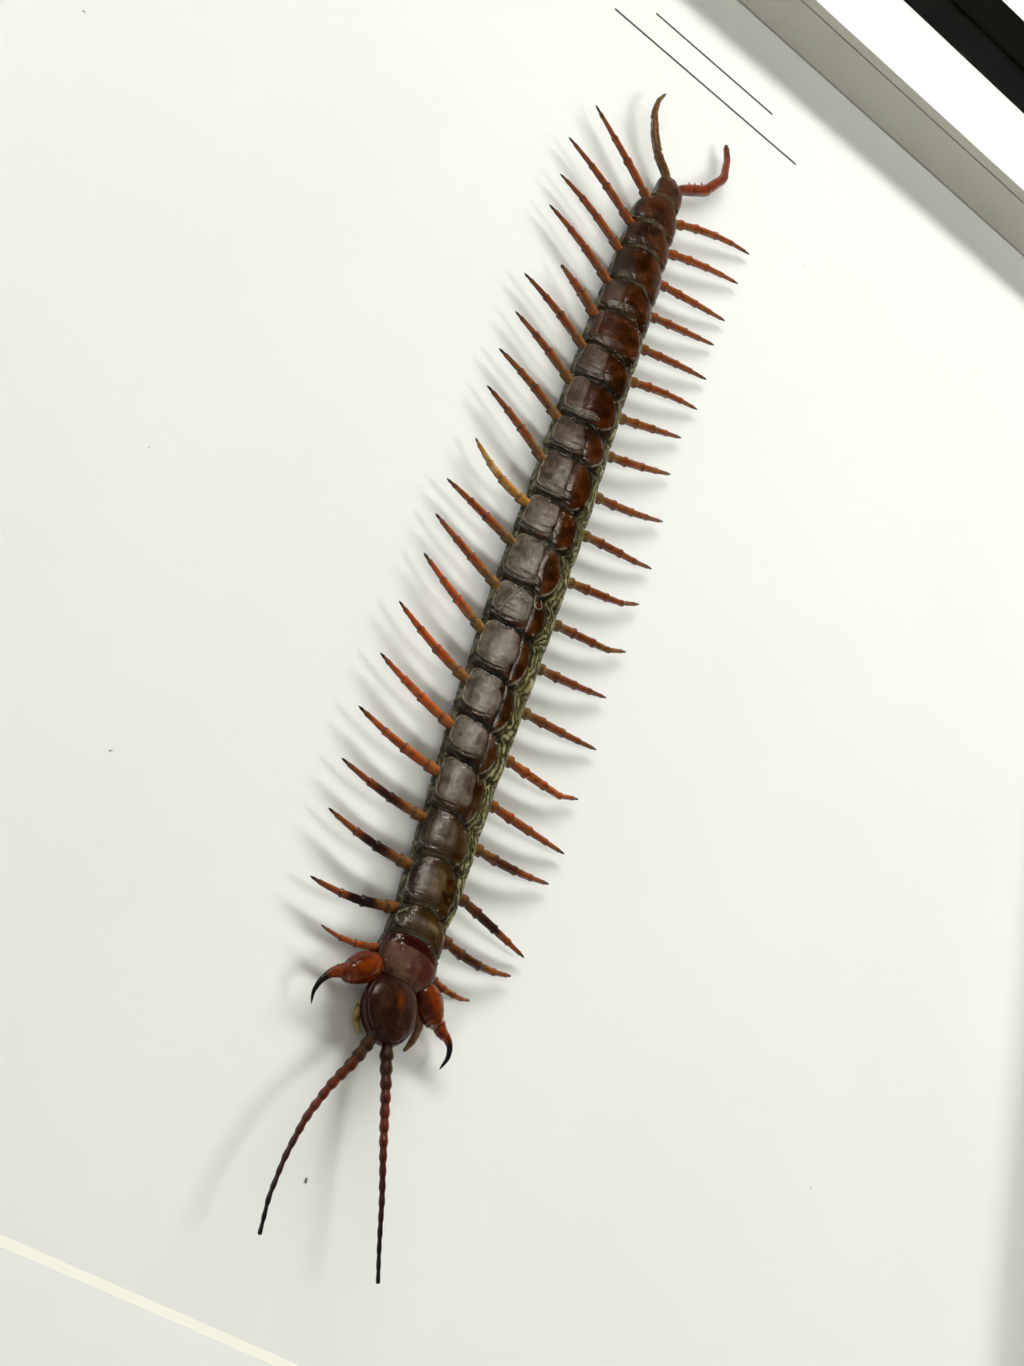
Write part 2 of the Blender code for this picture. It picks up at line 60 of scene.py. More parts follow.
def linear(code):
    """An sRGB hex colour as linear light."""
    parts = np.array([int(code[i:i + 2], 16) for i in (1, 3, 5)]) / 255
    return np.where(parts <= 0.04045, parts / 12.92, ((parts + 0.055) / 1.055) ** 2.4)


def palette(codes):
    """Several such colours, from one line of codes."""
    return [linear(code) for code in codes.split()]


def paint(code):
    """One such colour for a material's socket, with its alpha."""
    return (*linear(code), 1.0)


def per_mm(size):
    """The scale at which a noise has features of this many millimetres on Object coordinates."""
    return 1.0 / (size * MM)


def rise(value, low, high):
    """0 below low and 1 above high, with a smooth step between. High may be the lower one."""
    part = np.clip((value - low) / (high - low), 0, 1)
    return part * part * (3 - 2 * part)


def line(distance, width):
    """A soft line: 1 where the distance is 0, and near 0 two widths away."""
    return np.exp(-(distance / width) ** 2)


def blend(first, second, share):
    """The first colour moved towards the second by a share."""
    return first + (second - first) * np.asarray(share)[..., None]


def layered(tone, *layers):
    """A colour with others laid over it in turn: each a colour and its share at every point."""
    for colour, share in layers:
        tone = blend(tone, colour, share)
    return tone


def reading(table, at):
    """The value at a place in a table of (place, value) pairs, on straight lines between them."""
    return np.interp(at, *np.array(table, float).T)


def along(table, y):
    """A reading averaged over 3 mm of the body, so that it has no corners."""
    return np.mean([reading(table, y + step) for step in (-1.5, 0, 1.5)], axis=0)


# Large odd numbers that scramble a lattice corner's place and the seed into one number
CORNER_KEYS, SEED_KEY, STIR_KEY = np.array([73856093, 19349663, 83492791]), 2654435761, 1274126177


def lattice_noise(points, size, seed):
    """Noise from -1 to 1: a random value at each corner of a lattice, joined by smooth steps."""
    cell = points / size
    low = np.floor(cell).astype(np.int64)
    part = cell - low
    part = part * part * (3 - 2 * part)
    total = np.zeros(points.shape[:-1])
    for corner in np.ndindex(2, 2, 2):
        key = np.bitwise_xor.reduce((low + np.array(corner)) * CORNER_KEYS, axis=-1) ^ seed * SEED_KEY
        key = (key ^ (key >> 13)) * STIR_KEY & 0xFFFFFFFF
        key = (key ^ (key >> 16)) & 0xFFFF
        total += np.prod(np.where(corner, part, 1 - part), axis=-1) * (key / 32767.5 - 1)
    return total


def mottle(points, size, seed, layers=3):
    """Layered noise: each layer is half as large and half as strong as the one before."""
    return sum(lattice_noise(points, size / 2 ** i, seed + i) / 2 ** i for i in range(layers))


# Meshes. A part is (rings, tone, gloss): rows of points round a form, a colour and a roughness at each.


def closed_faces(rings, first):
    """Faces over rings that run round a form, each end closed on a point, turned to face outwards."""
    rows, cols = rings.shape[:2]
    here = first + np.arange(rows * cols).reshape(rows, cols)
    beside = np.roll(here, -1, axis=1)
    quads = np.stack([here[:-1], here[1:], beside[1:], beside[:-1]], axis=-1).reshape(-1, 4)
    start = np.full(cols, first + rows * cols)
    caps = np.concatenate([np.stack([start, here[0], beside[0]], axis=1),
                           np.stack([start + 1, beside[-1], here[-1]], axis=1)])
    a, b, c = rings[:-1], rings[1:], np.roll(rings, -1, axis=1)[1:]
    middle = rings.mean(axis=(0, 1))
    volume = np.einsum("ijk,ijk->", a - middle, np.cross(b - middle, c - middle))
    if volume < 0:
        quads, caps = quads[:, ::-1], caps[:, ::-1]
    return quads.tolist() + caps.tolist()


def with_ends(values):
    """Values on a grid of rings as a plain list, followed by the mean of the first and of the last ring."""
    flat = values.reshape(-1, *values.shape[2:])
    return np.concatenate([flat, [values[0].mean(axis=0)], [values[-1].mean(axis=0)]])


def build_piece(name, parts, look, node="centipede"):
    """One object from its parts, in place on the card, with its colour and roughness as attributes."""
    points, faces, tones, glosses = [], [], [], []
    count = 0
    for rings, tone, gloss in parts:
        faces += closed_faces(rings, count)
        points.append(with_ends(rings))
        tones.append(with_ends(np.broadcast_to(tone, rings.shape)))
        glosses.append(with_ends(np.broadcast_to(gloss, rings.shape[:2])))
        count += len(points[-1])
    points = np.concatenate(points) * MM + np.array([0, 0, CARD_TOP])
    mesh = bpy.data.meshes.new(name)
    mesh.from_pydata(points.tolist(), [], faces)
    colours = np.ones((count, 4), np.float32)
    colours[:, :3] = np.clip(np.concatenate(tones), 0, 1)
    mesh.attributes.new("tone", "FLOAT_COLOR", "POINT").data.foreach_set("color", colours.ravel())
    gloss = np.concatenate(glosses).astype(np.float32)
    mesh.attributes.new("roughness", "FLOAT", "POINT").data.foreach_set("value", gloss)
    mesh.materials.append(look)
    mesh.shade_smooth()
    piece = bpy.data.objects.new(name, mesh)
    bpy.context.scene.collection.objects.link(piece)
    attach(piece, "root")
    if node:
        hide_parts(node)


def unit(vectors):
    """Vectors at length 1."""
    return vectors / np.linalg.norm(vectors, axis=-1, keepdims=True)


def spaced(path, shares, soft=0.0):
    """Points at shares of the length of a line of points, with its corners rounded over a share of it."""
    path = np.array(path, float)
    steps = np.concatenate([[0], np.cumsum(np.linalg.norm(np.diff(path, axis=0), axis=1))])
    steps /= steps[-1]
    moved = [np.clip(np.asarray(shares) + shift, 0, 1) for shift in (-soft, -soft / 2, 0, soft / 2, soft)]
    return np.mean([[np.interp(at, steps, path[:, i]) for i in range(3)] for at in moved], axis=0).T


def tube(path, radii, sides=16, flat=1.0):
    """Rings of points round a path, square to it, each with its own radius. Flat squeezes their height."""
    ahead = unit(np.gradient(path, axis=0))
    across = unit(np.cross(ahead, (0, 0, 1)))
    above = np.cross(across, ahead)
    turn = np.linspace(0, 2 * math.pi, sides, endpoint=False)
    ring = np.cos(turn)[None, :, None] * across[:, None] + flat * np.sin(turn)[None, :, None] * above[:, None]
    return path[:, None] + radii[:, None, None] * ring


def uneven(rings, centre, sizes, seeds, swing=0.04):
    """A limb's rings, moved in and out about its path by a coarse and a fine noise, and the two noises."""
    wander, fine = (mottle(rings, size, seed) for size, seed in zip(sizes, seeds))
    return rings + (rings - centre[:, None]) * (swing * wander + 0.03 * fine)[..., None], wander, fine


# The centipede's plan: tables are (y, value) from tail to head

SPINE = [(-79.2, 3.0), (-75, 2.5), (-72, 2.8), (-69, 3.7), (-66, 4.0), (-60, 4.0), (-50, 4.2), (-20, 4.7),
         (10, 4.9), (45, 5.5), (65, 5.7), (85, 5.3), (98, 5.5), (103, 5.5)]
HALF_WIDTH = [(-79.2, 2.4), (-78, 2.9), (-73, 3.1), (-71.2, 3.2), (-70, 4.0), (-67, 4.9), (-60, 4.9),
              (-50, 5.2), (-35, 5.4), (-10, 5.5), (10, 5.6), (35, 5.6), (60, 5.0), (75, 4.5), (88, 4.4),
              (92, 4.0), (97, 4.9), (101, 4.3), (102.5, 3.1)]
BACK_UP = [(-80, 3.2), (-76, 4.2), (-68, 4.9), (-40, 5.7), (0, 6.1), (60, 6.0), (88, 5.5), (97, 5.5),
           (102.5, 4.2)]
LEAN = [(-80, 0.0), (-60, 0.06), (-30, 0.14), (60, 0.16), (88, 0.1), (96, 0.0)]
PINCH = [(-80, 0.1), (-62, 0.15), (-45, 0.12), (-25, 0.06), (80, 0.03), (97, 0.06)]
BELLY_UP, FLANK_UP = 0.3, 2.5
NECK_Y, TAIL_Y = 101.7, -79.2
# Where each tergite ends, from the head: the long and the short ones take turns, but for the seventh and
# the eighth
TERGITE_ENDS = [96.0, 91.2, 83.2, 75.9, 67.2, 59.7, 50.8, 41.2, 33.1, 22.8, 14.0, 3.4, -5.0, -15.2, -23.8,
                -33.6, -42.6, -52.9, -60.8, -70.3, TAIL_Y]
LEG_ROWS = [98, 91.5, 84.5, 76.5, 68.5, 60, 51, 42, 33, 24, 13.5, 4, -6.5, -15.5, -25, -34, -43.5, -53,
            -61.5, -72]

# Where the plates end across the back, as shares of the half width, on the +X side and the -X side
PLATE_TO_RIGHT = [(-80, 1.0), (-60, 0.98), (-40, 0.95), (90, 0.93), (98, 1.0)]
PLATE_TO_LEFT = [(-80, -1.0), (-60, -0.95), (-42, -0.8), (-20, -0.62), (10, -0.45), (45, -0.3), (75, -0.3),
                 (88, -0.42), (95, -0.8), (99, -1.0)]
# One value a tergite, from the head: how grey its painted sheen is (a reflection painted into its colour),
# how far across that reaches, how large the wrinkled tongue at its front is, how crisp its panel's edges are,
# and how olive its bare part is
PAINTED_SHEEN_LEVEL = [0.35, 0.85, 0.9, 0.75, 0.9, 0.95, 1.0, 1.0, 1.0, 0.95, 0.9, 0.85, 0.85, 0.75, 0.75, 0.4, 0.4, 0.2,
         0.2, 0.1, 0.05]
SHEEN_TO = [-0.9, -0.7, -0.55, -0.45, -0.6, -0.45, -0.45, -0.45, -0.4, -0.12, -0.15, -0.05, -0.15, 0.35,
            0.05, 0.75, 0.3, 0.5, 0.5, 0.6, 0.6]
TONGUE = [0.0, 0.2, 0.2, 0.2, 0.0, 0.2, 0.1, 0.3, 0.2, 1.0, 0.4, 1.0, 0.4, 0.9, 0.3, 0.4, 0.4, 0.3, 0.3,
          0.3, 0.1]
CRISP = [0.0, 0.1, 0.15, 0.15, 0.7, 0.85, 1.0, 1.0, 1.0, 1.0, 1.0, 1.0, 1.0, 0.8, 0.7, 0.45, 0.3, 0.2, 0.2,
         0.2, 0.1]
OLIVE = [0.0, 0.85, 0.8, 0.75, 0.45, 0.3, 0.15, 0.1, 0.1, 0.05] + 11 * [0.0]
# Joints: how slate blue, how pale in their pleats, and how far a tan arc shows, mostly near the tail
JOINT_BLUE = [(-80, 0.0), (-20, 0.0), (30, 0.3), (45, 1.0), (66, 1.0), (72, 0.2)]
PALE_JOINT = [(-80, 1.0), (-45, 1.0), (-30, 0.75), (20, 0.7), (40, 0.4), (66, 0.25), (72, 0.5)]
JOINT_CREAM = [(-75, 1.0), (-52, 1.0), (-35, 0.5), (-20, 0.1), (70, 0.0), (80, 0.6)]

MAHOGANY, MAHOGANY_DARK, CHESTNUT = palette("#3f1d06 #1e0c02 #4a2206")
# Greys of the painted sheen: a reflection painted into the colour of the panels and tongues
SHEEN_PAINT_GREY, SHEEN_PAINT_MAUVE, SHEEN_PAINT_TAN = palette("#6f6858 #62564a #7d6a4a")
JOINT_OLIVE, JOINT_SLATE, PALE_CREAM = palette("#141206 #11171b #b0aa90")
JOINT_GREY, JOINT_TAN, PLATE_OLIVE = palette("#22231b #685a3e #352b10")
FLANK_OLIVE, FLANK_KHAKI, FLANK_DARK = palette("#57532d #9c9469 #131108")
NECK_RED, NECK_GREY, NECK_OCHRE = palette("#4a271b #6a4d40 #6a5534")
NECK_RIM, NECK_LINE, NECK_SPECK = palette("#300e07 #0c0403 #c9c2b0")

RINGS_A_TERGITE, BACK_COLUMNS, BELLY_COLUMNS, TERGITES_A_MESH = 76, 112, 22, 7


def trunk_part():
    """The trunk, as rings that follow the folds between its plates.

    A ring is a wide oval with a domed back, sheared so that the trunk leans to +X. Its points are
    shifted along the body by a bow that is deepest at the middle, so each joint is an arc. Then
    every point moves in or out along its ring's normal: each plate rises from a sunk joint to a
    low tongue, domes, and ends in a sharp rim over the next; grooves mark the edge of its raised
    panel and the seam beside the middle; and the soft flanks below the plates are wrinkled.
    """
    edges = np.array([NECK_Y, *TERGITE_ENDS])
    plate = np.repeat(np.arange(len(edges) - 1), RINGS_A_TERGITE)

    def each(values):
        """The value of each ring's plate."""
        return np.array(values)[plate][:, None]

    step = (np.arange(RINGS_A_TERGITE) + 0.5) / RINGS_A_TERGITE
    share = np.tile(step - 0.1 * np.sin(2 * math.pi * step), len(edges) - 1)[:, None]
    length, middle_y = each(edges[:-1] - edges[1:]), each((edges[:-1] + edges[1:]) / 2)
    q = each(edges[:-1]) - share * length
    from_front, from_rear = share * length, (1 - share) * length

    turn = np.concatenate([np.linspace(0, math.pi, BACK_COLUMNS, endpoint=False),
                           np.linspace(math.pi, 2 * math.pi, BELLY_COLUMNS, endpoint=False)])[None]
    across, up = np.cos(turn), np.sin(turn)
    half = along(HALF_WIDTH, q)
    swell = 1 - along(PINCH, middle_y) * (line(from_front, 1.2) + 0.8 * line(from_rear, 1.3))
    swell = swell * (0.25 + 0.75 * np.sqrt(np.clip((q - TAIL_Y) / 1.6, 0, 1)))
    side = half * swell * np.sign(across) * np.abs(across) ** 0.9
    dome = (along(BACK_UP, q) - FLANK_UP) * np.abs(up) ** 0.85
    height = FLANK_UP + np.where(up > 0, dome, (FLANK_UP - BELLY_UP) * up)
    height = height - side * along(LEAN, q) * (height - BELLY_UP) / FLANK_UP

    # Place across the plate, from -1 at its edge on the -X side to 1 on the +X side
    bulge = np.sin(math.pi * share) ** 0.7
    to_right = along(PLATE_TO_RIGHT, q) - 0.05 + 0.06 * bulge
    to_left = np.maximum(along(PLATE_TO_LEFT, q) + 0.1 - 0.25 * bulge, -1.0)
    w = (2 * side / half - to_right - to_left) / (to_right - to_left)
    w = np.where(up > -0.02, w, np.sign(across) * 1.6)
    width = half * (to_right - to_left) / 2
    deep, slant = rise(q, -20, -50), rise(q, 65, 85)
    bow = -0.4 - 0.5 * deep + (2.1 * deep + 1.3 * slant - 1.1) * rise(w, 0.1, 1.15)
    bow = bow + (1.6 + 0.2 * deep - 0.6 * slant) * rise(w, -0.1, -1.15)
    bow = bow * rise(q, TAIL_Y + 1, TAIL_Y + 8) * rise(q, NECK_Y, NECK_Y - 4)
    base = np.stack(np.broadcast_arrays(along(SPINE, q) + side, q + bow, height), axis=-1)

    wander, fine = mottle(base, 2.2, 5), mottle(base, 0.7, 11)
    on_back = rise(up, 0.0, 0.12)
    on_plate = rise(np.abs(w), 1.02, 0.97) * on_back
    ends = rise(q, TAIL_Y + 0.5, TAIL_Y + 5)

    # The raised panel: a rounded rectangle beside the seam, and how far each point is outside it
    sheen_to, sheen, crisp = each(SHEEN_TO), each(PAINTED_SHEEN_LEVEL), each(CRISP)
    soft = rise(middle_y, 72, 84)
    panel_front, panel_rear, corner = 1.7, 0.2 + 1.0 * soft, 1.2
    middle_w, half_w = (0.95 - 0.2 * soft + sheen_to) / 2, (0.95 - 0.2 * soft - sheen_to) / 2
    out_y = np.abs(from_front - (length + panel_front - panel_rear) / 2)
    out_y = out_y - (length - panel_front - panel_rear) / 2 + corner
    out_x = np.abs(w - middle_w) * width - half_w * width + corner
    outside = np.hypot(np.maximum(out_y, 0), np.maximum(out_x, 0)) + np.minimum(np.maximum(out_x, out_y), 0)
    outside = outside - corner + 0.08 * fine

    # The bare leaf beside it, which narrows to both ends, and how far each point is outside it
    leaf_middle, leaf_half = (sheen_to - 0.98) / 2, (sheen_to + 0.98) / 2
    swollen = np.sin(math.pi * np.clip((from_front - 0.4) / (length - 0.5), 0, 1)) ** 0.55
    out_leaf = (np.abs(w - leaf_middle) - leaf_half * (0.2 + 0.8 * swollen)) * width + 0.06 * fine
    beside = rise(w, sheen_to + 0.06, sheen_to - 0.08) * on_plate

    # The panel's groove and lip, the seam, the wrinkled tongue, the pleated joint and the rims
    front_side = rise(from_front, 2.6, 1.4) * rise(w, -0.5, 0.2)
    rear_side = rise(from_rear, 1.4, 0.4) * rise(w, 0.1, 0.5)
    edges_seen = np.maximum(rise(w, 0.35, 0.7), np.maximum(front_side, rear_side)) * crisp
    groove = line(outside - 0.22, 0.14) * edges_seen * on_plate
    lip = line(outside + 0.02, 0.085) * edges_seen * on_plate
    seam = line((w - sheen_to) * width + 0.12 * wander, 0.11) * on_plate * rise(from_front, 0.8, 2.0) * crisp
    lobe = np.abs((w * width - 1.3 + 0.3 * wander) / 2.8) ** 3 + np.abs((from_front - 1.9) / 1.05) ** 2.4
    lobe = lobe + 0.15 * fine
    tongue = rise(lobe, 1.2, 0.8) * on_plate * each(TONGUE)
    wrinkles = rise(np.cos(2 * math.pi * (from_front + 0.3 * wander + 0.12 * w) / 0.5), -0.2, 0.9) * tongue
    tongue_edge = line(lobe - 1.05, 0.16) * on_plate * each(TONGUE)
    middle_band = rise(np.abs(w + 0.05), 0.8, 0.45)
    depth = (0.75 - 0.3 * rise(w, -0.4, -0.7)) * (1 + 0.3 * along(JOINT_CREAM, q))
    joint = rise(from_front + 0.12 * fine, depth, 0.55 * depth) * on_back
    pleats = rise(np.cos(2 * math.pi * (from_front + 0.1 * wander + 0.08 * w) / 0.36), 0.1, 0.9)
    pleats = pleats * joint * middle_band
    rim = line(from_rear, 0.18) * on_plate
    leaf_rim = line(out_leaf - 0.02, 0.085) * rise(w, leaf_middle + 0.1, leaf_middle - 0.1)
    leaf_rim = leaf_rim * rise(share, 0.75, 0.5) * on_plate * (0.2 + 0.8 * crisp)
    margin = rise(outside, 0.3, 0.5) * rise(w, 0.55, 0.75) * on_plate

    # The soft flanks: lengthwise cracks that wander, part and meet
    on_flank = (1 - on_plate) * rise(up, -0.75, -0.2)
    past_left = (-1 - w) * width
    down_flank = np.where(w < 0, past_left, (w - 1) * width)
    crack_wave = np.sin(2 * math.pi * (down_flank / 0.85 + 0.75 * wander + 0.3 * fine + 0.1))
    cracks = rise(crack_wave, 0.5, 0.95) * on_flank
    ridges = rise(-crack_wave + 0.4 * fine, 0.3, 0.95) * on_flank

    # How far out each point moves
    move = 0.16 * np.sin(math.pi * share) ** 0.8 * on_plate
    move = move - 0.5 * rise(from_front, 0.8, 0.0) * on_back * ends - 0.1 * line(from_rear, 0.1) * on_plate
    move = move - 0.13 * groove + 0.05 * lip - 0.02 * seam + 0.2 * tongue + 0.07 * (wrinkles - 0.4 * tongue)
    move = move + 0.07 * (pleats - 0.4 * joint * middle_band) - 0.08 * line(out_leaf - 0.1, 0.12) * beside
    move = move + (0.06 * rise(-out_leaf, 0.0, 0.8) + 0.04 * leaf_rim) * beside
    move = move + (0.07 * ridges - 0.14 * cracks + 0.04 * fine) * on_flank * ends
    move = move + (0.014 * fine + 0.03 * wander) * on_plate
    ahead = np.roll(base, -1, axis=1) - np.roll(base, 1, axis=1)
    normal = unit(np.cross(ahead, (0.0, 1.0, 0.0)))
    facing = np.sign((normal * (base - base.mean(axis=1, keepdims=True))).sum(axis=-1).mean())
    rings = base + facing * normal * move[..., None]
    rings[..., 2] = np.maximum(rings[..., 2], 0.1)

    # The bare plates, then the painted sheen on their panels (a grey reflection painted into the colour),
    # then the joints, edges and painted glints
    shade = np.maximum(margin, rise(out_leaf + 0.25 * wander, -0.25, 0.3) * beside * crisp)
    corner_shade = rise(from_front, 2.0, 1.4) * rise(w, 0.2, 0.5) * rise(outside, 0.1, 0.3) * crisp
    rear_shade = rise(from_rear, 1.3, 0.5) * rise(w, 0.7, 0.3) * (0.4 + 0.6 * crisp)
    shade = np.maximum(shade, np.maximum(corner_shade, rear_shade))
    shade = np.maximum(shade, 0.8 * rise(np.abs(w), 0.78, 1.0) * (1 - crisp))
    # The painted sheen: a grey reflection painted over each panel and beside its seam, patchy and ragged at
    # its edge
    streaks = mottle(base * np.array([1.0, 0.2, 1.0]), 0.5, 17)
    ragged = (w - sheen_to) * width + 0.9 * wander + 0.45 * fine
    inside = rise(outside, 0.02, -0.3 - 0.9 * (1 - crisp)) * rise(ragged, -0.35, 0.35)
    inside = inside * rise(from_rear, 0.6 - 0.4 * rise(w, 0.3, 0.7), 1.3 - 0.9 * rise(w, 0.3, 0.7))
    blotch = 0.45 + 0.55 * rise(wander + 0.35 * fine + 0.6 * streaks, -0.8, 0.5)
    painted_sheen = inside * blotch + 0.25 * beside * rise(streaks + wander, 0.3, 1.2)
    painted_sheen = np.clip(painted_sheen, 0, 1) * sheen * on_plate
    sheen_paint_share = np.minimum(sheen * 1.6, 1)
    grey = blend(SHEEN_PAINT_MAUVE, SHEEN_PAINT_GREY, rise(middle_y, -10, 30) * rise(wander + streaks, -0.8, 0.6))
    grey = blend(grey, SHEEN_PAINT_TAN, rise(middle_y, 72, 88) * rise(-w, -0.3, 0.3))
    slate = blend(JOINT_GREY, JOINT_SLATE, along(JOINT_BLUE, q) * np.ones_like(w))
    slate = layered(blend(JOINT_OLIVE, slate, middle_band * rise(q, -70, -30)),
                    (JOINT_TAN, along(JOINT_CREAM, q) * rise(np.abs(w), 1.0, 0.7)))
    lip_seen = (0.35 + 0.65 * rise(fine + wander, -0.7, 0.3)) * (0.2 + 0.8 * sheen)
    worn_line = line(outside - 0.8 - 0.15 * wander, 0.09) * margin * rise(fine, -0.4, 0.3)
    # Painted glints: tiny white highlights painted near the ends of the plates
    painted_glints = rise(mottle(base, 0.34, 29), 0.95, 1.15) * rise(np.minimum(from_front, from_rear), 3.0, 0.5)
    tone = layered(
        blend(MAHOGANY_DARK, MAHOGANY, rise(0.3 * fine + wander, -0.9, 0.5)),
        (CHESTNUT, 0.6 * rise(wander - 0.3 * fine, 0.0, 0.9)),
        (PLATE_OLIVE, each(OLIVE) * rise(wander + fine, -0.9, 0.4)),
        (JOINT_OLIVE, 0.9 * shade * on_plate),
        # painted sheen: a grey reflection painted over the panels
        (grey, 0.9 * painted_sheen),
        # the tongues' grey and their lighter wrinkles are painted sheen too
        (SHEEN_PAINT_MAUVE * 0.5, 0.85 * tongue * sheen_paint_share),
        (SHEEN_PAINT_GREY * 1.15, 0.8 * wrinkles * sheen_paint_share),
        (FLANK_DARK * 0.6, 0.8 * tongue_edge),
        (slate, 0.95 * joint * on_plate),
        (PALE_CREAM, np.clip(along(PALE_JOINT, q) * pleats * (0.35 + 0.8 * fine), 0, 0.9)),
        (FLANK_DARK * 0.5, np.clip(0.95 * groove + 0.6 * seam * sheen, 0, 1)),
        (PALE_CREAM, 0.8 * lip * lip_seen),
        (PALE_CREAM, 0.45 * worn_line),
        (JOINT_OLIVE * 0.6, 0.7 * rim * rise(w, 0.9, 0.4)),
        (PALE_CREAM, 0.65 * leaf_rim * rise(fine + wander, -0.7, 0.2)),
        # painted glints: tiny white highlights
        (PALE_CREAM * 1.3, np.clip(painted_glints * on_plate, 0, 1)),
    )
    flank = layered(
        blend(FLANK_DARK, FLANK_OLIVE, 0.35 + 0.65 * rise(fine + 0.7 * wander, -0.7, 0.5)),
        (FLANK_KHAKI, 0.8 * ridges * rise(streaks + fine, -0.8, 0.3)),
    )
    flank = layered(
        blend(flank, flank * 0.55, rise(w, 0.9, 1.1)),
        (FLANK_DARK * 0.5, np.clip(np.maximum(line(past_left - 0.12, 0.12), 0.95 * cracks), 0, 1)),
        # painted shade: the flank goes dark where it turns under towards the card
        (FLANK_DARK, rise(up, -0.1, -0.6)),
    )

    # The first plate, behind the head, is redder, with a dark glossy rear band
    neck = layered(
        blend(NECK_RED, NECK_GREY, rise(wander, -0.7, 0.5) * rise(np.abs(w - 0.1), 1.0, 0.65)),
        (NECK_OCHRE, 0.6 * rise(q, 98.4, 101.0) * rise(wander + 0.5 * fine, -0.5, 0.6)),
        (NECK_RIM, np.maximum(rise(from_rear, 1.5, 1.2), rise(np.abs(w), 0.75, 0.98))),
        (NECK_LINE, line(from_rear - 1.4, 0.12) + line(from_rear - 0.7, 0.1)),
        (NECK_SPECK, rise(mottle(base, 0.4, 53), 0.85, 1.05) * rise(w, -0.3, 0.5)),
    )
    tone = layered(tone, (flank, (1 - on_plate) * np.ones_like(w)), (neck, (plate == 0)[:, None] * on_back))
    gloss = 0.1 + 0.12 * painted_sheen + 0.1 * joint * on_plate + 0.3 * (1 - on_plate) + 0.03 * fine
    return rings, tone, np.clip(gloss, 0.08, 0.8)


# Head, jaws, feelers

HEAD_CENTRE, HEAD_HALF, HEAD_TURN = (5.7, 105.6, 2.9), (4.2, 5.0, 2.1), 10
RIGHT_BULB, LEFT_BULB = (11.4, 102.1, 2.8), (0.0, 101.9, 2.4)
RIGHT_BULB_TURN, LEFT_BULB_TURN = 45, 128
BULB_HALF = 3.4, 2.1, 1.9
RIGHT_ANTENNA = [(6.3, 108.5, 2.8), (7.2, 111.2, 3.05), (8.4, 114.4, 3.35), (10.8, 119.2, 3.75),
                 (12.6, 124.2, 4.15), (13.7, 129.8, 4.5), (14.1, 135.2, 4.8), (13.7, 140.1, 5.0)]
LEFT_ANTENNA = [(4.6, 108.5, 2.8), (4.2, 111.2, 3.05), (3.1, 115.0, 3.35), (2.0, 119.4, 3.75),
                (0.7, 124.4, 4.15), (-0.7, 129.3, 4.5), (-2.0, 134.6, 4.8), (-3.4, 139.4, 5.0)]
ANTENNA_RADII = [(0, 0.95), (0.12, 0.9), (0.3, 0.68), (0.5, 0.52), (0.75, 0.36), (1, 0.27)]
BEAD_COUNT, RINGS_A_BEAD = 17, 14
RIGHT_CLAW = [(12.8, 103.2, 2.9), (14.2, 103.9, 2.9), (15.5, 105.0, 2.9), (16.4, 106.5, 2.8),
              (16.7, 108.2, 2.5), (16.2, 109.8, 2.2)]
LEFT_CLAW = [(-2.0, 103.4, 2.3), (-3.0, 104.5, 2.3), (-4.3, 104.9, 2.2), (-5.2, 105.8, 2.0),
             (-5.4, 107.2, 1.8), (-4.7, 109.2, 1.6)]
CLAW_RADII = [(0, 1.1), (0.2, 0.92), (0.38, 0.62), (0.5, 0.46), (0.7, 0.34), (0.88, 0.2), (1, 0.05)]
RIGHT_PALP = [(6.6, 103.5, 2.3), (9.1, 105.0, 1.8), (9.5, 107.0, 1.6), (9.1, 108.6, 1.5), (7.9, 110.0, 1.4)]
LEFT_PALP = [(3.0, 103.6, 2.4), (0.1, 104.7, 1.8), (0.2, 106.6, 1.6), (0.7, 108.3, 1.5), (1.2, 109.2, 1.4)]
PALP_RADII = [(0, 0.5), (0.25, 0.6), (0.5, 0.55), (0.75, 0.5), (1, 0.2)]

HEAD_DARK, HEAD_BROWN, HEAD_STREAK = palette("#23130a #392317 #1c0c08")
HEAD_SPOT, HEAD_RIM_AND_SHADE, HEAD_SIDE = palette("#6c330f #2c0f0a #2e130a")
BULB_RED, BULB_AMBER, BULB_SEAM_AND_SHADE = palette("#4e1704 #743009 #3a0e06")
BULB_END, CLAW_ROOT, CLAW_AMBER = palette("#54190a #5e2008 #7c3414")
CLAW_BLACK, PALP_EDGE, ANTENNA_ROOT = palette("#0c0a0b #2c2012 #30200f")
ANTENNA_BROWN, ANTENNA_RED, ANTENNA_WINE = palette("#4c1e0c #5e240c #35100a")
ANTENNA_TIP, ANTENNA_JOINT = palette("#120b0b #150806")


def turned(points, centre, degrees):
    """Points turned about Z and moved to a centre."""
    sine, cosine = math.sin(math.radians(degrees)), math.cos(math.radians(degrees))
    return points @ np.array([[cosine, sine, 0], [-sine, cosine, 0], [0, 0, 1]]) + np.array(centre)


def oval_grid(rows, cols):
    """Unit directions over an oval, as rings from its front end (+Y) to its rear end."""
    down = ((np.arange(rows) + 0.5) / rows * math.pi)[:, None]
    round_ = np.linspace(0, 2 * math.pi, cols, endpoint=False)
    return np.sin(down) * np.cos(round_), np.cos(down) * np.ones(cols), np.sin(down) * np.sin(round_)


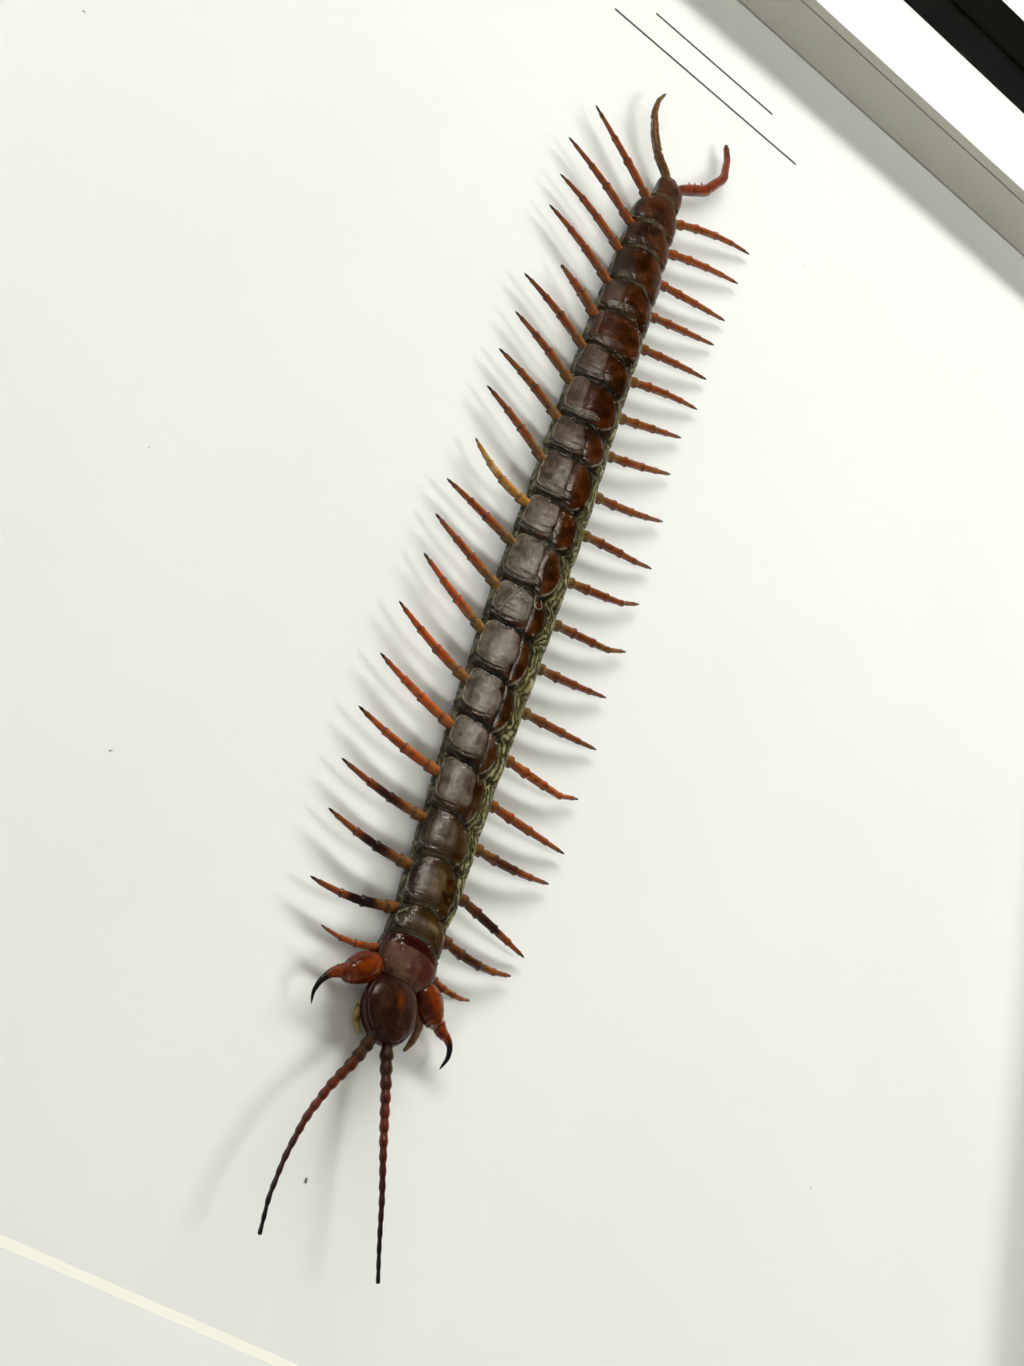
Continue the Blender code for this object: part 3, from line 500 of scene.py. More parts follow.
def head_part():
    """The head shield: a flattened oval, a little narrower in front, with a groove inside its rim."""
    x, y, z = oval_grid(120, 140)
    plan = np.hypot(x, y)
    flat = np.sign(z) * np.abs(z) ** 0.8
    local = np.stack([x * HEAD_HALF[0] * (1 - 0.07 * y), y * HEAD_HALF[1], flat * HEAD_HALF[2]], axis=-1)
    on_top = rise(z, 0.0, 0.2)
    wander, fine = mottle(local, 2.0, 31), mottle(local, 0.6, 37)
    rim_groove = line(plan - 0.93 + 0.01 * wander, 0.025) * on_top
    middle_groove = line(local[..., 0] + 0.12 * wander, 0.22) * on_top * rise(plan, 0.85, 0.6)
    relief = 1 - 0.035 * rim_groove - 0.006 * middle_groove + 0.004 * fine + 0.006 * wander
    local = local * relief[..., None]
    streak = line(local[..., 0] - 0.3 + 0.5 * wander, 0.75) * rise(np.abs(y), 0.95, 0.6)
    spot = line(np.hypot(local[..., 0] + 0.5, (local[..., 1] + 1.1) / 2.1) + 0.2 * fine, 0.55)
    tone = layered(
        blend(HEAD_DARK, HEAD_BROWN, rise(wander + 0.5 * fine, -0.6, 0.7)),
        (HEAD_STREAK, 0.85 * streak * rise(fine, -0.9, 0.1)),
        (HEAD_SPOT, 0.7 * spot),
        # dark round the rim, and painted shade on the underside
        (HEAD_RIM_AND_SHADE, np.maximum(rise(plan, 0.8, 0.93), 1 - on_top)),
        (HEAD_SIDE, rise(x, 0.5, 0.8) * on_top),
    )
    return turned(local, HEAD_CENTRE, HEAD_TURN), tone, 0.14 + 0.04 * fine


def bulb_part(centre, degrees, mirror):
    """A jaw's swollen base, its long axis turned to the jaw's line, with a seam and a ringed neck."""
    x, y, z = oval_grid(90, 80)
    length, width, height = BULB_HALF
    local = np.stack([y * length, -x * width * mirror * (1 - 0.12 * y), z * height], axis=-1)
    wander, fine = mottle(local, 1.4, 41), mottle(local, 0.45, 47)
    neck = rise(y, 0.55, 0.85)
    rings = np.cos(2 * math.pi * local[..., 0] / 0.55 + 1.5 * wander) * neck
    seam = line(y - 0.5 + 0.05 * wander, 0.035)
    dots = rise(fine, 0.75, 1.0)
    local = local * (1 + 0.02 * rings - 0.03 * seam + 0.012 * wander - 0.01 * dots)[..., None]
    tone = layered(
        blend(BULB_RED, BULB_AMBER, rise(wander + 0.4 * fine, -0.6, 0.7)),
        # dark along the seam, and painted shade on the bulb's underside
        (BULB_SEAM_AND_SHADE, 0.8 * np.maximum(seam, rise(-z, 0.2, 0.8))),
        (BULB_END, 0.55 * rise(-y, 0.6, 0.95) + 0.3 * neck * (1 - rings) / 2),
    )
    return turned(local, centre, degrees), tone, 0.06 + 0.03 * fine


def claw_part(path):
    """A curved tapering claw: brown and ridged at its root, then black, ending in a point."""
    shares = np.linspace(0, 1, 90) ** 0.9
    radii = reading(CLAW_RADII, shares)
    ridges = 0.05 * np.cos(2 * math.pi * shares / 0.07) * rise(shares, 0.34, 0.2)
    rings = tube(spaced(path, shares, 0.06), radii * (1 + ridges), 24, 0.85)
    fine = mottle(rings, 0.6, 51)
    dark = rise(shares[:, None] + 0.04 * fine, 0.36, 0.5)
    return rings, layered(blend(CLAW_ROOT, CLAW_AMBER, rise(fine, -0.5, 0.6)), (CLAW_BLACK, dark)), 0.2


def palp_part(path, code):
    """A small feeding arm: a short tapering crescent of two joints."""
    shares = np.linspace(0, 1, 50)
    radii = reading(PALP_RADII, shares) * (1 - 0.15 * line(shares - 0.55, 0.03))
    rings = tube(spaced(path, shares, 0.08), radii, 18)
    share = rise(mottle(rings, 0.7, 61), 0.1, 0.7) * 0.7 + 0.3 * line(shares - 0.55, 0.04)[:, None]
    return rings, blend(linear(code), PALP_EDGE, share), 0.35


def antenna_part(path, seed):
    """A feeler of beads, each narrow at its root and full near its end, thinning to a blunt dark tip."""
    rows = BEAD_COUNT * RINGS_A_BEAD
    shares = (np.arange(rows) + 0.5) / rows
    place = shares * BEAD_COUNT
    bead = place % 1
    radii = reading(ANTENNA_RADII, shares)
    radii = radii * (0.8 + 0.24 * np.sin(math.pi * bead ** 1.7)) * rise(1 - shares, -0.01, 0.006)
    centre = spaced(path, shares, 0.03)
    rings, wander, fine = uneven(tube(centre, radii, 18), centre, (1.8, 0.5), (seed, seed + 5), 0.05)
    at = place[:, None]
    tone = layered(
        blend(ANTENNA_ROOT, ANTENNA_BROWN, rise(at, 1.5, 5.0)),
        (ANTENNA_RED, rise(at, 3.5, 6.5) * rise(fine + wander, -0.7, 0.5)),
        (ANTENNA_WINE, rise(at, 7.0, 11.0)),
        (ANTENNA_TIP, rise(at, 10.5, 15.0)),
        (ANTENNA_JOINT, 0.65 * (line(bead, 0.1) + line(bead - 1, 0.06))[:, None]),
    )
    return rings, tone, 0.28 + 0.05 * fine


# Legs. Each side's lists have one value a pair, from the head: how far it reaches sideways and sweeps to
# the tail, how far it bows towards the head, how far its root lies ahead of its row, how orange it is (0 is
# dark brown) and how black its middle joints are. Stance is the height of its root, foot and arch. Kinked
# legs bend sharply near the foot. Kinked, pale and broken legs are given by their rows, counted from 0.

RIGHT = {
    "reach": [8.7, 13.2, 14, 14.6, 14.6, 14.1, 14.1, 13, 13.5, 14, 12, 13.5, 14, 13.7, 14.8, 9, 15.5, 16,
              17.4, 17.3],
    "sweep": [-1, -2, 1.5, 1.5, 2.5, 4, 5, 6.5, 5.5, 4, 4.5, 6.5, 5, 6, 6, 5, 7, 6.7, 8.7, 11.8],
    "bow": [1, 1.1, 0.85, 0.8, 0.8, 0.65, 0.9, 0.6, 0.5, 0.25, 1.7, -0.05, -0.1, -0.05, -0.2, 0.15, -0.3,
            -0.35, -0.15, 0.35],
    "root": [0.1, 0, 0.2, 0.4, 0.5, 0.7, 1, 0.4, 0.3, 0, 1.5, 0.65, 0.9, 0.7, 0.85, 1, 0.8, 0.9, 0.8, 2.7],
    "orange": [0.6, 0.2, 0.2, 0.35, 0.9, 1.0, 0.95, 0.9, 0.65, 0.6, 0.5, 0.55, 0.5, 0.5, 0.55, 0.55, 0.6,
               0.6, 0.6, 0.65],
    "black": [0.0, 0.95, 0.9, 0.8, 0.15] + 15 * [0],
    "stance": (2.6, 2.0, 0.4),
    "kinked": (19,),
    "knees": (0.13, 0.42, 0.66, 0.9),
    "pale": 10,
    "broken": 15,
}
LEFT = {
    "reach": [7.7, 13.4, 14.3, 15.1, 16.2, 15.8, 16.3, 15.2, 16.2, 16.1, 16.5, 16.1, 15.1, 15.2, 16.9, 17,
              16.6, 17.6, 18.4, 19.8],
    "sweep": [0.5, 0.5, -2.9, 2, 0, 1.5, 2.5, 3.5, 5, 6.5, 4.5, 6, 6.5, 7, 6.5, 6, 6, 4.5, 8, 7.6],
    "bow": [0.95, 1.35, 0.3, 0.85, 0.45, 1.55, 0.55, 0.65, 1.35, 1.3, 0.6, 1, 0.75, 0.5, -0.15, 0.25, 0.5,
            0.5, -0.1, -0.85],
    "root": [0.2, 0.6, 0.5, 0.3, 0.5, 0.65, 0.5, 0.7, 0.5, 0.45, 0.25, 0.75, 1.5, 1.1, 1.05, 0.95, 1.4, 1.6,
             1.2, 3.15],
    "orange": [0.45, 0.15, 0.1, 0.25, 0.6, 0.7, 0.35, 0.3, 0.3, 0.35, 0.4, 0.4, 0.45, 0.45, 0.5, 0.5, 0.55,
               0.6, 0.65, 0.6],
    "black": [0.0, 0.5, 0.75, 0.6, 0.15, 0.05] + 14 * [0],
    "stance": (2.6, 0.85, 0.5),
    "kinked": (5, 8, 9, 10),
    "knees": (0.12, 0.3, 0.54, 0.75, 0.93),
    "pale": None,
    "broken": None,
}
# How olive the root of each leg is, on both sides
OLIVE_ROOT = [0.1, 0.25, 0.3, 0.35, 0.4, 0.5, 0.8, 0.9, 0.9, 0.9, 0.8, 0.75, 0.7, 0.6, 0.4, 0.3, 0.3, 0.2,
              0.15, 0.1]
LEG_THICKNESS = [(0, 0.85), (0.08, 0.95), (0.13, 0.78), (0.3, 0.8), (0.45, 0.73), (0.66, 0.58), (0.85, 0.4),
                 (0.96, 0.25), (1, 0.06)]
FIRST_LEG_SIZE, FRONT_LEG_SIZE, LEG_GROWTH = 0.62, 0.92, 0.1
LEG_DARK, LEG_BROWN, LEG_ORANGE = palette("#46260f #8c4620 #c2561f")
LEG_OLIVE, LEG_TAN, LEG_BLACK = palette("#6f5a32 #a5763f #130d0d")
PALE_AMBER, PALE_STRAW = palette("#b98234 #cda968")
LEG_RINGS, LEG_SIDES, LEG_INSIDE = 84, 18, 1.6


def painted_shade_below(tone, rings, centre):
    """The colour of a limb with painted shade: darker to black brown where its skin turns down towards the
    card.
    """
    out = rings - centre[:, None]
    up = out[..., 2] / np.linalg.norm(out, axis=-1)
    return blend(tone, tone * 0.18, rise(up, 0.35, -0.35))


def leg_line(row, sign):
    """A walking leg's joints from inside the trunk to its tip: an even reach, bowed ahead and arched up."""
    side = RIGHT if sign > 0 else LEFT
    root_up, foot_up, arch_up = side["stance"]
    y = LEG_ROWS[row]
    root_x = float(along(SPINE, y) + sign * (along(HALF_WIDTH, y) - 0.2))
    bends = np.array([0, *side["knees"], 1.0])
    arch = 4 * bends * (1 - bends)
    bowed = np.interp(bends, (0, 0.4, 0.73, 1), (0, 0.7, 1, 0)) if row in side["kinked"] else arch
    ahead = side["root"][row] * (1 - bends) - side["sweep"][row] * bends + side["bow"][row] * bowed
    place = np.stack([root_x + sign * side["reach"][row] * bends, y + ahead,
                      root_up + (foot_up - root_up) * bends + arch_up * arch], axis=1)
    return np.concatenate([[place[0] - (sign * LEG_INSIDE, 0, 0)], place])


def leg_part(row, sign):
    """A walking leg: along its line, each joint widens to a knee and steps in after it, to a black claw."""
    right = sign > 0
    side = RIGHT if right else LEFT
    knees, orange, black = side["knees"], side["orange"][row], side["black"][row]
    pale, broken = (row == side[state] for state in ("pale", "broken"))
    place = leg_line(row, sign)
    shares = np.linspace(0, 1, LEG_RINGS)
    centre = spaced(place, shares, 0.012)
    inside = LEG_INSIDE / (LEG_INSIDE + np.linalg.norm(np.diff(place[1:], axis=0), axis=1).sum())
    t = (shares - inside) / (1 - inside)

    size = FIRST_LEG_SIZE if row == 0 else FRONT_LEG_SIZE + LEG_GROWTH * row / len(LEG_ROWS)
    radii = size * reading(LEG_THICKNESS, t)
    knee_line = np.zeros_like(t)
    for knee in knees:
        flare = 0.24 * line(t - knee + 0.012, 0.028) * (t < knee)
        radii = radii * (1 + flare - 0.13 * line(t - knee, 0.04) * (t >= knee))
        knee_line = knee_line + line(t - knee, 0.012)
    if broken:
        radii = np.where(t > 0.93, radii * 1.6, radii * 1.15)
    seed = 100 + row * 2 + right
    rings = tube(centre, radii, LEG_SIDES, 0.92)
    rings, wander, fine = uneven(rings, centre, (2.0, 0.5), (seed, seed + 50))

    t = t[:, None]
    body = blend(LEG_BROWN, LEG_ORANGE, orange * 2 - 1)
    if orange < 0.5:
        body = blend(LEG_DARK, LEG_BROWN, orange * 2)
    root = rise(t + 0.03 * wander, knees[1] * 0.9, knees[0] * 0.8)
    black_joints = rise(t + 0.04 * wander, 0.22, 0.34) * rise(t + 0.05 * wander, 0.7, 0.55)
    tone = layered(
        blend(body, body * 0.62, rise(fine + 0.6 * wander, -0.1, 0.8)),
        (LEG_TAN, 0.35 * rise(wander - fine, 0.3, 0.9)),
        (blend(LEG_OLIVE, LEG_TAN, rise(fine, 0.0, 0.8)), OLIVE_ROOT[row] * root),
        (LEG_BLACK, black * black_joints),
        (LEG_BROWN, 0.8 * min(black * 1.5, 1) * rise(t, 0.52, 0.68)),
    )
    claw = rise(t + 0.01 * wander, 0.9, 0.965)
    if broken:
        claw = rise(t, 0.9, 0.99)
    if pale:
        straw = rise(wander + 0.5 * fine, -0.4, 0.6) * rise(t, 0.1, 0.3) * rise(t, 0.85, 0.6)
        tone = blend(PALE_AMBER, PALE_STRAW, straw)
        claw = rise(t + 0.01 * wander, 0.94, 0.965)
    tone = layered(tone, (LEG_OLIVE * 0.6, (0.0 if pale else 0.5) * rise(t, 0.72, 0.95)),
                   (LEG_BLACK, 0.7 * knee_line[:, None]), (LEG_BLACK, claw))
    # painted shade under the leg
    return rings, painted_shade_below(tone, rings, centre), 0.22 + 0.05 * fine


RIGHT_LAST_LEG = [(2.9, -77.5, 2.3), (4.6, -80.2, 2.5), (7.6, -83.2, 2.8), (9.7, -87.5, 3.0),
                  (11.3, -93.5, 3.0), (11.2, -97.5, 2.9), (10.0, -101.6, 2.6)]
LEFT_LAST_LEG = [(1.3, -77.5, 2.3), (-0.3, -80.1, 2.2), (-5.3, -84.9, 2.0), (-8.7, -92.7, 1.8),
                 (-8.4, -98.3, 1.8), (-7.1, -102.6, 1.8)]
RIGHT_LAST_RADII = [(0, 0.9), (0.2, 0.95), (0.27, 0.88), (0.5, 0.86), (0.57, 0.78), (0.78, 0.6), (0.86, 0.5),
                    (0.95, 0.34), (1, 0.1)]
LEFT_LAST_RADII = [(0, 0.95), (0.2, 1.15), (0.38, 1.1), (0.62, 0.98), (0.68, 0.86), (0.82, 0.75),
                   (0.97, 0.58), (1, 0.4)]
RIGHT_LAST_KNEES, LEFT_LAST_KNEES = (0.27, 0.57, 0.86), (0.38, 0.68, 0.97)
RIGHT_LAST_COLOURS, LEFT_LAST_COLOURS = "#7a5222 #55381a #15100c", "#85391a #5c2511 #4a2110"
# Small spines: share of the leg's length, direction, and reach from its middle
RIGHT_SPURS = [(0.22, (1, -0.3, 0.1), 1.5), (0.36, (-1, 0.1, 0.1), 1.6), (0.6, (1, 0, 0.1), 1.35)]
LEFT_SPURS = [(0.2, (0.7, -0.7, 0.15), 1.8), (0.26, (0.7, -0.7, 0.15), 1.75), (0.33, (0.6, -0.8, 0.15), 1.95)]
RIGHT_SPUR_COLOUR, LEFT_SPUR_COLOUR = "#6a4520", "#54200f"


def last_leg_part(path, radii, knees, colours, seed):
    """A hind leg, thicker than the walking legs, its joints flared and stepped."""
    shares = np.linspace(0, 1, 110)
    centre = spaced(path, shares, 0.02)
    size = reading(radii, shares)
    knee_line = np.zeros_like(shares)
    for knee in knees:
        flare = 0.2 * line(shares - knee + 0.008, 0.022) * (shares < knee)
        size = size * (1 + flare - 0.12 * line(shares - knee, 0.03))
        knee_line = knee_line + line(shares - knee, 0.012)
    rings, wander, fine = uneven(tube(centre, size, 24), centre, (2.2, 0.6), (seed, seed + 7))
    body, dark, tip = palette(colours)
    tone = layered(blend(body, dark, rise(fine + 0.6 * wander, -0.3, 0.8)),
                   (dark * 0.4, 0.5 * knee_line[:, None]), (tip, rise(shares, 0.93, 0.97)[:, None]))
    # painted shade under the hind leg
    return rings, painted_shade_below(tone, rings, centre), 0.27 + 0.05 * fine


def spur_part(path, code, share, towards, reach):
    """A small spine: a short cone from the middle of a leg out through its side."""
    shares = np.linspace(0, 1, 14)
    start = spaced(path, [share], 0.02)[0]
    line_out = start + shares[:, None] * unit(np.array(towards, float)) * reach
    return tube(line_out, 0.42 * (1 - shares ** 1.5) + 0.03, 12), linear(code), 0.3


# Materials


def fill(tree, node, inputs):
    """Each input, by name or number, gets a link from a socket or else a fixed value."""
    for name, value in inputs.items():
        if isinstance(value, bpy.types.NodeSocket):
            tree.links.new(value, node.inputs[name])
        else:
            node.inputs[name].default_value = value


def add_node(tree, kind, inputs, out=0, **settings):
    """A node with its settings and inputs, as the output that is asked for.

    Inputs 1 to 4 of a map range are its old and new limits, and inputs 6 and 7 of a mix are its colours.
    """
    made = tree.nodes.new(f"ShaderNode{kind}")
    for name, value in settings.items():
        setattr(made, name, value)
    fill(tree, made, inputs)
    return made.outputs[out]


def shaded(material, **inputs):
    """The material, with these inputs of its shader linked or set."""
    tree = material.node_tree
    fill(tree, tree.nodes["Principled BSDF"], {name.replace("_", " "): inputs[name] for name in inputs})
    return material


def new_material(name, **values):
    """A material with fixed values on its shader, its own way to add a node, and Object coordinates."""
    made = bpy.data.materials.new(name)
    made.use_nodes = True
    add = functools.partial(add_node, made.node_tree)
    return shaded(made, **values), add, add("TexCoord", {}, "Object")


def dried_cuticle(name, pit, coat):
    """Dried arthropod cuticle: hard, thin and waxy, so colour lies deep under a clear glossy skin.

    The eye gets small pits that break up the highlights, and cloudy patches of darker brown.
    """
    made, add, place = new_material(name, IOR=1.54, Specular_IOR_Level=0.3, Coat_Weight=coat,
                                    Coat_Roughness=0.07)
    tone = add("Attribute", {}, "Color", attribute_name="tone")
    gloss = add("Attribute", {}, "Fac", attribute_name="roughness")
    cloud = add("TexNoise", {"Vector": place, "Scale": per_mm(0.9), "Detail": 5.0})
    shade = add("MapRange", {"Value": cloud, 1: 0.3, 2: 0.7, 3: 0.82, 4: 1.18})
    tinted = add("VectorMath", {"Vector": tone, "Scale": shade}, operation="SCALE")
    pits = add("TexNoise", {"Vector": place, "Scale": per_mm(pit), "Detail": 3.0})
    rough = add("Math", {0: pits, 1: 0.14, 2: gloss}, operation="MULTIPLY_ADD")
    relief = add("Bump", {"Height": pits, "Strength": 0.35, "Distance": 0.05 * MM})
    return shaded(made, Base_Color=tinted, Roughness=rough, Normal=relief)


def black_lacquered_wood(name, stretch):
    """Wood under thin black satin lacquer: the grain only shows as faint streaks in the gloss."""
    made, add, place = new_material(name, IOR=1.5, Specular_IOR_Level=0.2)
    drawn_out = add("Mapping", {"Vector": place, "Scale": stretch})
    grain = add("TexNoise", {"Vector": drawn_out, "Scale": per_mm(0.9), "Detail": 6.0, "Roughness": 0.6})
    colour = add("Mix", {0: grain, 6: paint("#090b07"), 7: paint("#11140c")}, 2, data_type="RGBA")
    rough = add("MapRange", {"Value": grain, 1: 0.3, 2: 0.7, 3: 0.4, 4: 0.54})
    relief = add("Bump", {"Height": grain, "Strength": 0.25, "Distance": 0.06 * MM})
    return shaded(made, Base_Color=colour, Roughness=rough, Normal=relief)


def paper_board(name, face, shade, core, tooth):
    """Paper-faced board: matt fibres that scatter light evenly, and a paler core where a bevel cuts it.

    It also gives what the printed card adds its rules to: the way to add a node, the place and the colour.
    """
    made, add, place = new_material(name, Roughness=0.9, IOR=1.45, Specular_IOR_Level=0.25)
    fibre = add("TexNoise", {"Vector": place, "Scale": per_mm(tooth), "Detail": 6.0, "Roughness": 0.65})
    cloud = add("TexNoise", {"Vector": place, "Scale": per_mm(45), "Detail": 3.0})
    both = add("Math", {0: fibre, 1: cloud}, operation="MULTIPLY")
    colour = add("Mix", {0: both, 6: paint(face), 7: paint(shade)}, 2, data_type="RGBA")
    upward = add("SeparateXYZ", {"Vector": add("NewGeometry", {}, "Normal")}, "Z")
    cut = add("MapRange", {"Value": upward, 1: 0.95, 2: 0.85, 3: 0.0, 4: 1.0})
    colour = add("Mix", {0: cut, 6: colour, 7: paint(core)}, 2, data_type="RGBA")
    relief = add("Bump", {"Height": fibre, "Strength": 0.3, "Distance": 0.04 * MM})
    return shaded(made, Base_Color=colour, Normal=relief), add, place, colour


# The two printed rules, in millimetres
RULE_Y, RULE_STEP, RULE_HALF_THICK = -117.3, -9.0, 0.35
RULE_HALF_LENGTHS = 26.0, 17.0


def printed_card(name):
    """White card with two fine printed rules past the animal's tail, square to it."""
    made, add, place, colour = paper_board(name, "#f3f4ee", "#e6e6dd", "#ebe9dd", 0.35)
    x, y = (add("SeparateXYZ", {"Vector": place}, axis) for axis in "XY")
    for number, half_length in enumerate(RULE_HALF_LENGTHS):
        near_x = add("Math", {0: x, 1: 0.0, 2: half_length * MM}, operation="COMPARE")
        rule_y = (RULE_Y + number * RULE_STEP) * MM
        near_y = add("Math", {0: y, 1: rule_y, 2: RULE_HALF_THICK * MM}, operation="COMPARE")
        ink = add("Math", {0: near_x, 1: near_y}, operation="MULTIPLY")
        colour = add("Mix", {0: ink, 6: colour, 7: paint("#4a4a48")}, 2, data_type="RGBA")
    return shaded(made, Base_Color=colour)


def foam_board(name):
    """Cut polystyrene foam: matt white, with fine closed cells that the knife has opened."""
    made, add, place = new_material(name, Roughness=0.85, IOR=1.45, Specular_IOR_Level=0.3)
    cells = add("TexVoronoi", {"Vector": place, "Scale": per_mm(0.6)})
    cloud = add("TexNoise", {"Vector": place, "Scale": per_mm(12), "Detail": 4.0})
    colour = add("Mix", {0: cloud, 6: paint("#d9d8cf"), 7: paint("#cecdc3")}, 2, data_type="RGBA")
    relief = add("Bump", {"Height": cells, "Strength": 0.3, "Distance": 0.08 * MM})
    return shaded(made, Base_Color=colour, Normal=relief)


def picture_glass(name):
    """Low-reflection picture glass: clear soda-lime with a coating that leaves next to no mirror image."""
    made, add, place = new_material(name, Base_Color=(1, 1, 1, 1), IOR=1.5, Transmission_Weight=1.0,
                                    Specular_IOR_Level=0.05, Specular_Tint=(0.06, 0.06, 0.07, 1))
    wave = add("TexNoise", {"Vector": place, "Scale": per_mm(40), "Detail": 1.0})
    return shaded(made, Roughness=add("MapRange", {"Value": wave, 3: 0.0, 4: 0.004}))


def tempered_hardboard(name):
    """Pressed wood-fibre board: brown, smooth and slightly waxy, with fine fibres and darker flecks."""
    made, add, place = new_material(name, Roughness=0.6, IOR=1.5, Specular_IOR_Level=0.35)
    fibre = add("TexNoise", {"Vector": place, "Scale": per_mm(1.1), "Detail": 8.0, "Roughness": 0.7,
                             "Distortion": 1.5})
    cloud = add("TexNoise", {"Vector": place, "Scale": per_mm(30), "Detail": 3.0})
    fleck = add("MapRange", {"Value": fibre, 1: 0.62, 2: 0.72, 3: 0.0, 4: 0.8})
    ground = add("Mix", {0: cloud, 6: paint("#8a6440"), 7: paint("#73502f")}, 2, data_type="RGBA")
    colour = add("Mix", {0: fleck, 6: ground, 7: paint("#4d3420")}, 2, data_type="RGBA")
    relief = add("Bump", {"Height": fibre, "Strength": 0.3, "Distance": 0.08 * MM})
    return shaded(made, Base_Color=colour, Normal=relief)


def zinc_plated_steel(name):
    """Stamped steel with a zinc coat: bright grey, with rolling lines and dull patches."""
    made, add, place = new_material(name, Metallic=1.0)
    lines = add("Mapping", {"Vector": place, "Scale": (0.08, 1.0, 1.0)})
    rolled = add("TexNoise", {"Vector": lines, "Scale": per_mm(0.25), "Detail": 3.0})
    dull = add("TexVoronoi", {"Vector": place, "Scale": per_mm(2.5)})
    colour = add("Mix", {0: dull, 6: paint("#c9c9c4"), 7: paint("#a3a5a4")}, 2, data_type="RGBA")
    rough = add("MapRange", {"Value": rolled, 1: 0.3, 2: 0.7, 3: 0.26, 4: 0.46})
    relief = add("Bump", {"Height": rolled, "Strength": 0.2, "Distance": 0.02 * MM})
    return shaded(made, Base_Color=colour, Roughness=rough, Normal=relief)


def pale_floor(name):
    """Matt painted board for the floor, in a faintly uneven pale grey."""
    made, add, place = new_material(name, Roughness=0.8)
    cloud = add("TexNoise", {"Vector": place, "Scale": 3.0})
    colour = add("Mix", {0: cloud, 6: paint("#d9d9d4"), 7: paint("#d2d2cc")}, 2, data_type="RGBA")
    return shaded(made, Base_Color=colour)


# Small loose things: dust on the card, and two fibres on the back

DUST = [(107.3, -19, 0.3), (53.5, 90.9, 0.25), (8.0, 129.8, 0.5), (-73.3, 96.7, 0.2), (-34, -90.2, 0.3),
        (67.3, 46, 0.2), (-91.5, -145.7, 0.25)]
FIBRE_PATHS = ([(10.6, 40.3, 6.4), (10.1, 38.4, 6.6), (9.2, 36.2, 6.9), (8.1, 34.0, 7.1)],
               [(5.5, 33.9, 6.9), (5.7, 35.2, 6.9), (5.1, 36.3, 6.9), (4.1, 36.3, 6.9), (3.9, 35.2, 6.9),
                (4.6, 34.3, 6.9)])


def dust_part(number, x, y, size):
    """A speck: a tiny flattened lump with an uneven outline, close over the card."""
    across, ahead, up = oval_grid(10, 14)
    local = np.stack([across, ahead * 0.28, np.maximum(up, -0.5) * 0.2], axis=-1) * size
    local = local * (1 + 0.35 * mottle(local * 3, 0.8, 200 + number))[..., None]
    return turned(local, (x, y, 0.13 * size), 47 * number), linear("#7a766a"), 0.8


def fibre_part(path):
    """A pale fibre that lies over a plate: a thin tube on a loose curve."""
    shares = np.linspace(0, 1, 60)
    return tube(spaced(path, shares, 0.1), np.full(60, 0.032), 8), linear("#a9a48e"), 0.6


def dress_centipede():
    """The animal's meshes in place of its solid, with what lies on it and beside it."""
    plates = dried_cuticle("dried_tergite_cuticle", 0.16, 0.4)
    amber = dried_cuticle("amber_jaw_cuticle", 0.22, 0.9)
    limb = dried_cuticle("dried_leg_cuticle", 0.14, 0.6)
    rings, tone, gloss = trunk_part()
    cut = TERGITES_A_MESH * RINGS_A_TERGITE
    for number, stretch in enumerate(("front", "middle", "rear")):
        rows = slice(max(number * cut - 1, 0), (number + 1) * cut)
        build_piece(f"centipede_trunk_{stretch}", [(rings[rows], tone[rows], gloss[rows])], plates)
    build_piece("centipede_head", [head_part()], plates)
    build_piece("centipede_jaws", [
        bulb_part(RIGHT_BULB, RIGHT_BULB_TURN, 1), bulb_part(LEFT_BULB, LEFT_BULB_TURN, -1),
        claw_part(RIGHT_CLAW), claw_part(LEFT_CLAW),
    ], amber)
    build_piece("centipede_palps", [palp_part(RIGHT_PALP, "#a58a4a"), palp_part(LEFT_PALP, "#6b4a2a")], limb)
    build_piece("centipede_antennae", [antenna_part(RIGHT_ANTENNA, 71), antenna_part(LEFT_ANTENNA, 83)], limb)
    rows = range(len(LEG_ROWS))
    build_piece("centipede_legs", [leg_part(row, sign) for sign in (1, -1) for row in rows], limb)
    build_piece("centipede_last_legs", [
        last_leg_part(RIGHT_LAST_LEG, RIGHT_LAST_RADII, RIGHT_LAST_KNEES, RIGHT_LAST_COLOURS, 141),
        last_leg_part(LEFT_LAST_LEG, LEFT_LAST_RADII, LEFT_LAST_KNEES, LEFT_LAST_COLOURS, 151),
        *(spur_part(RIGHT_LAST_LEG, RIGHT_SPUR_COLOUR, *spur) for spur in RIGHT_SPURS),
        *(spur_part(LEFT_LAST_LEG, LEFT_SPUR_COLOUR, *spur) for spur in LEFT_SPURS),
    ], limb)
    build_piece("stray_fibres", [fibre_part(path) for path in FIBRE_PATHS], limb, node=None)
    painted_glints = [dust_part(number, *place) for number, place in enumerate(DUST)]
    build_piece("dust_specks", painted_glints, limb, None)


def set_look(look, *node_names):
    """Gives carried-over solids their material."""
    for name in node_names:
        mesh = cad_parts[name].data
        mesh.materials.clear()
        mesh.materials.append(look)


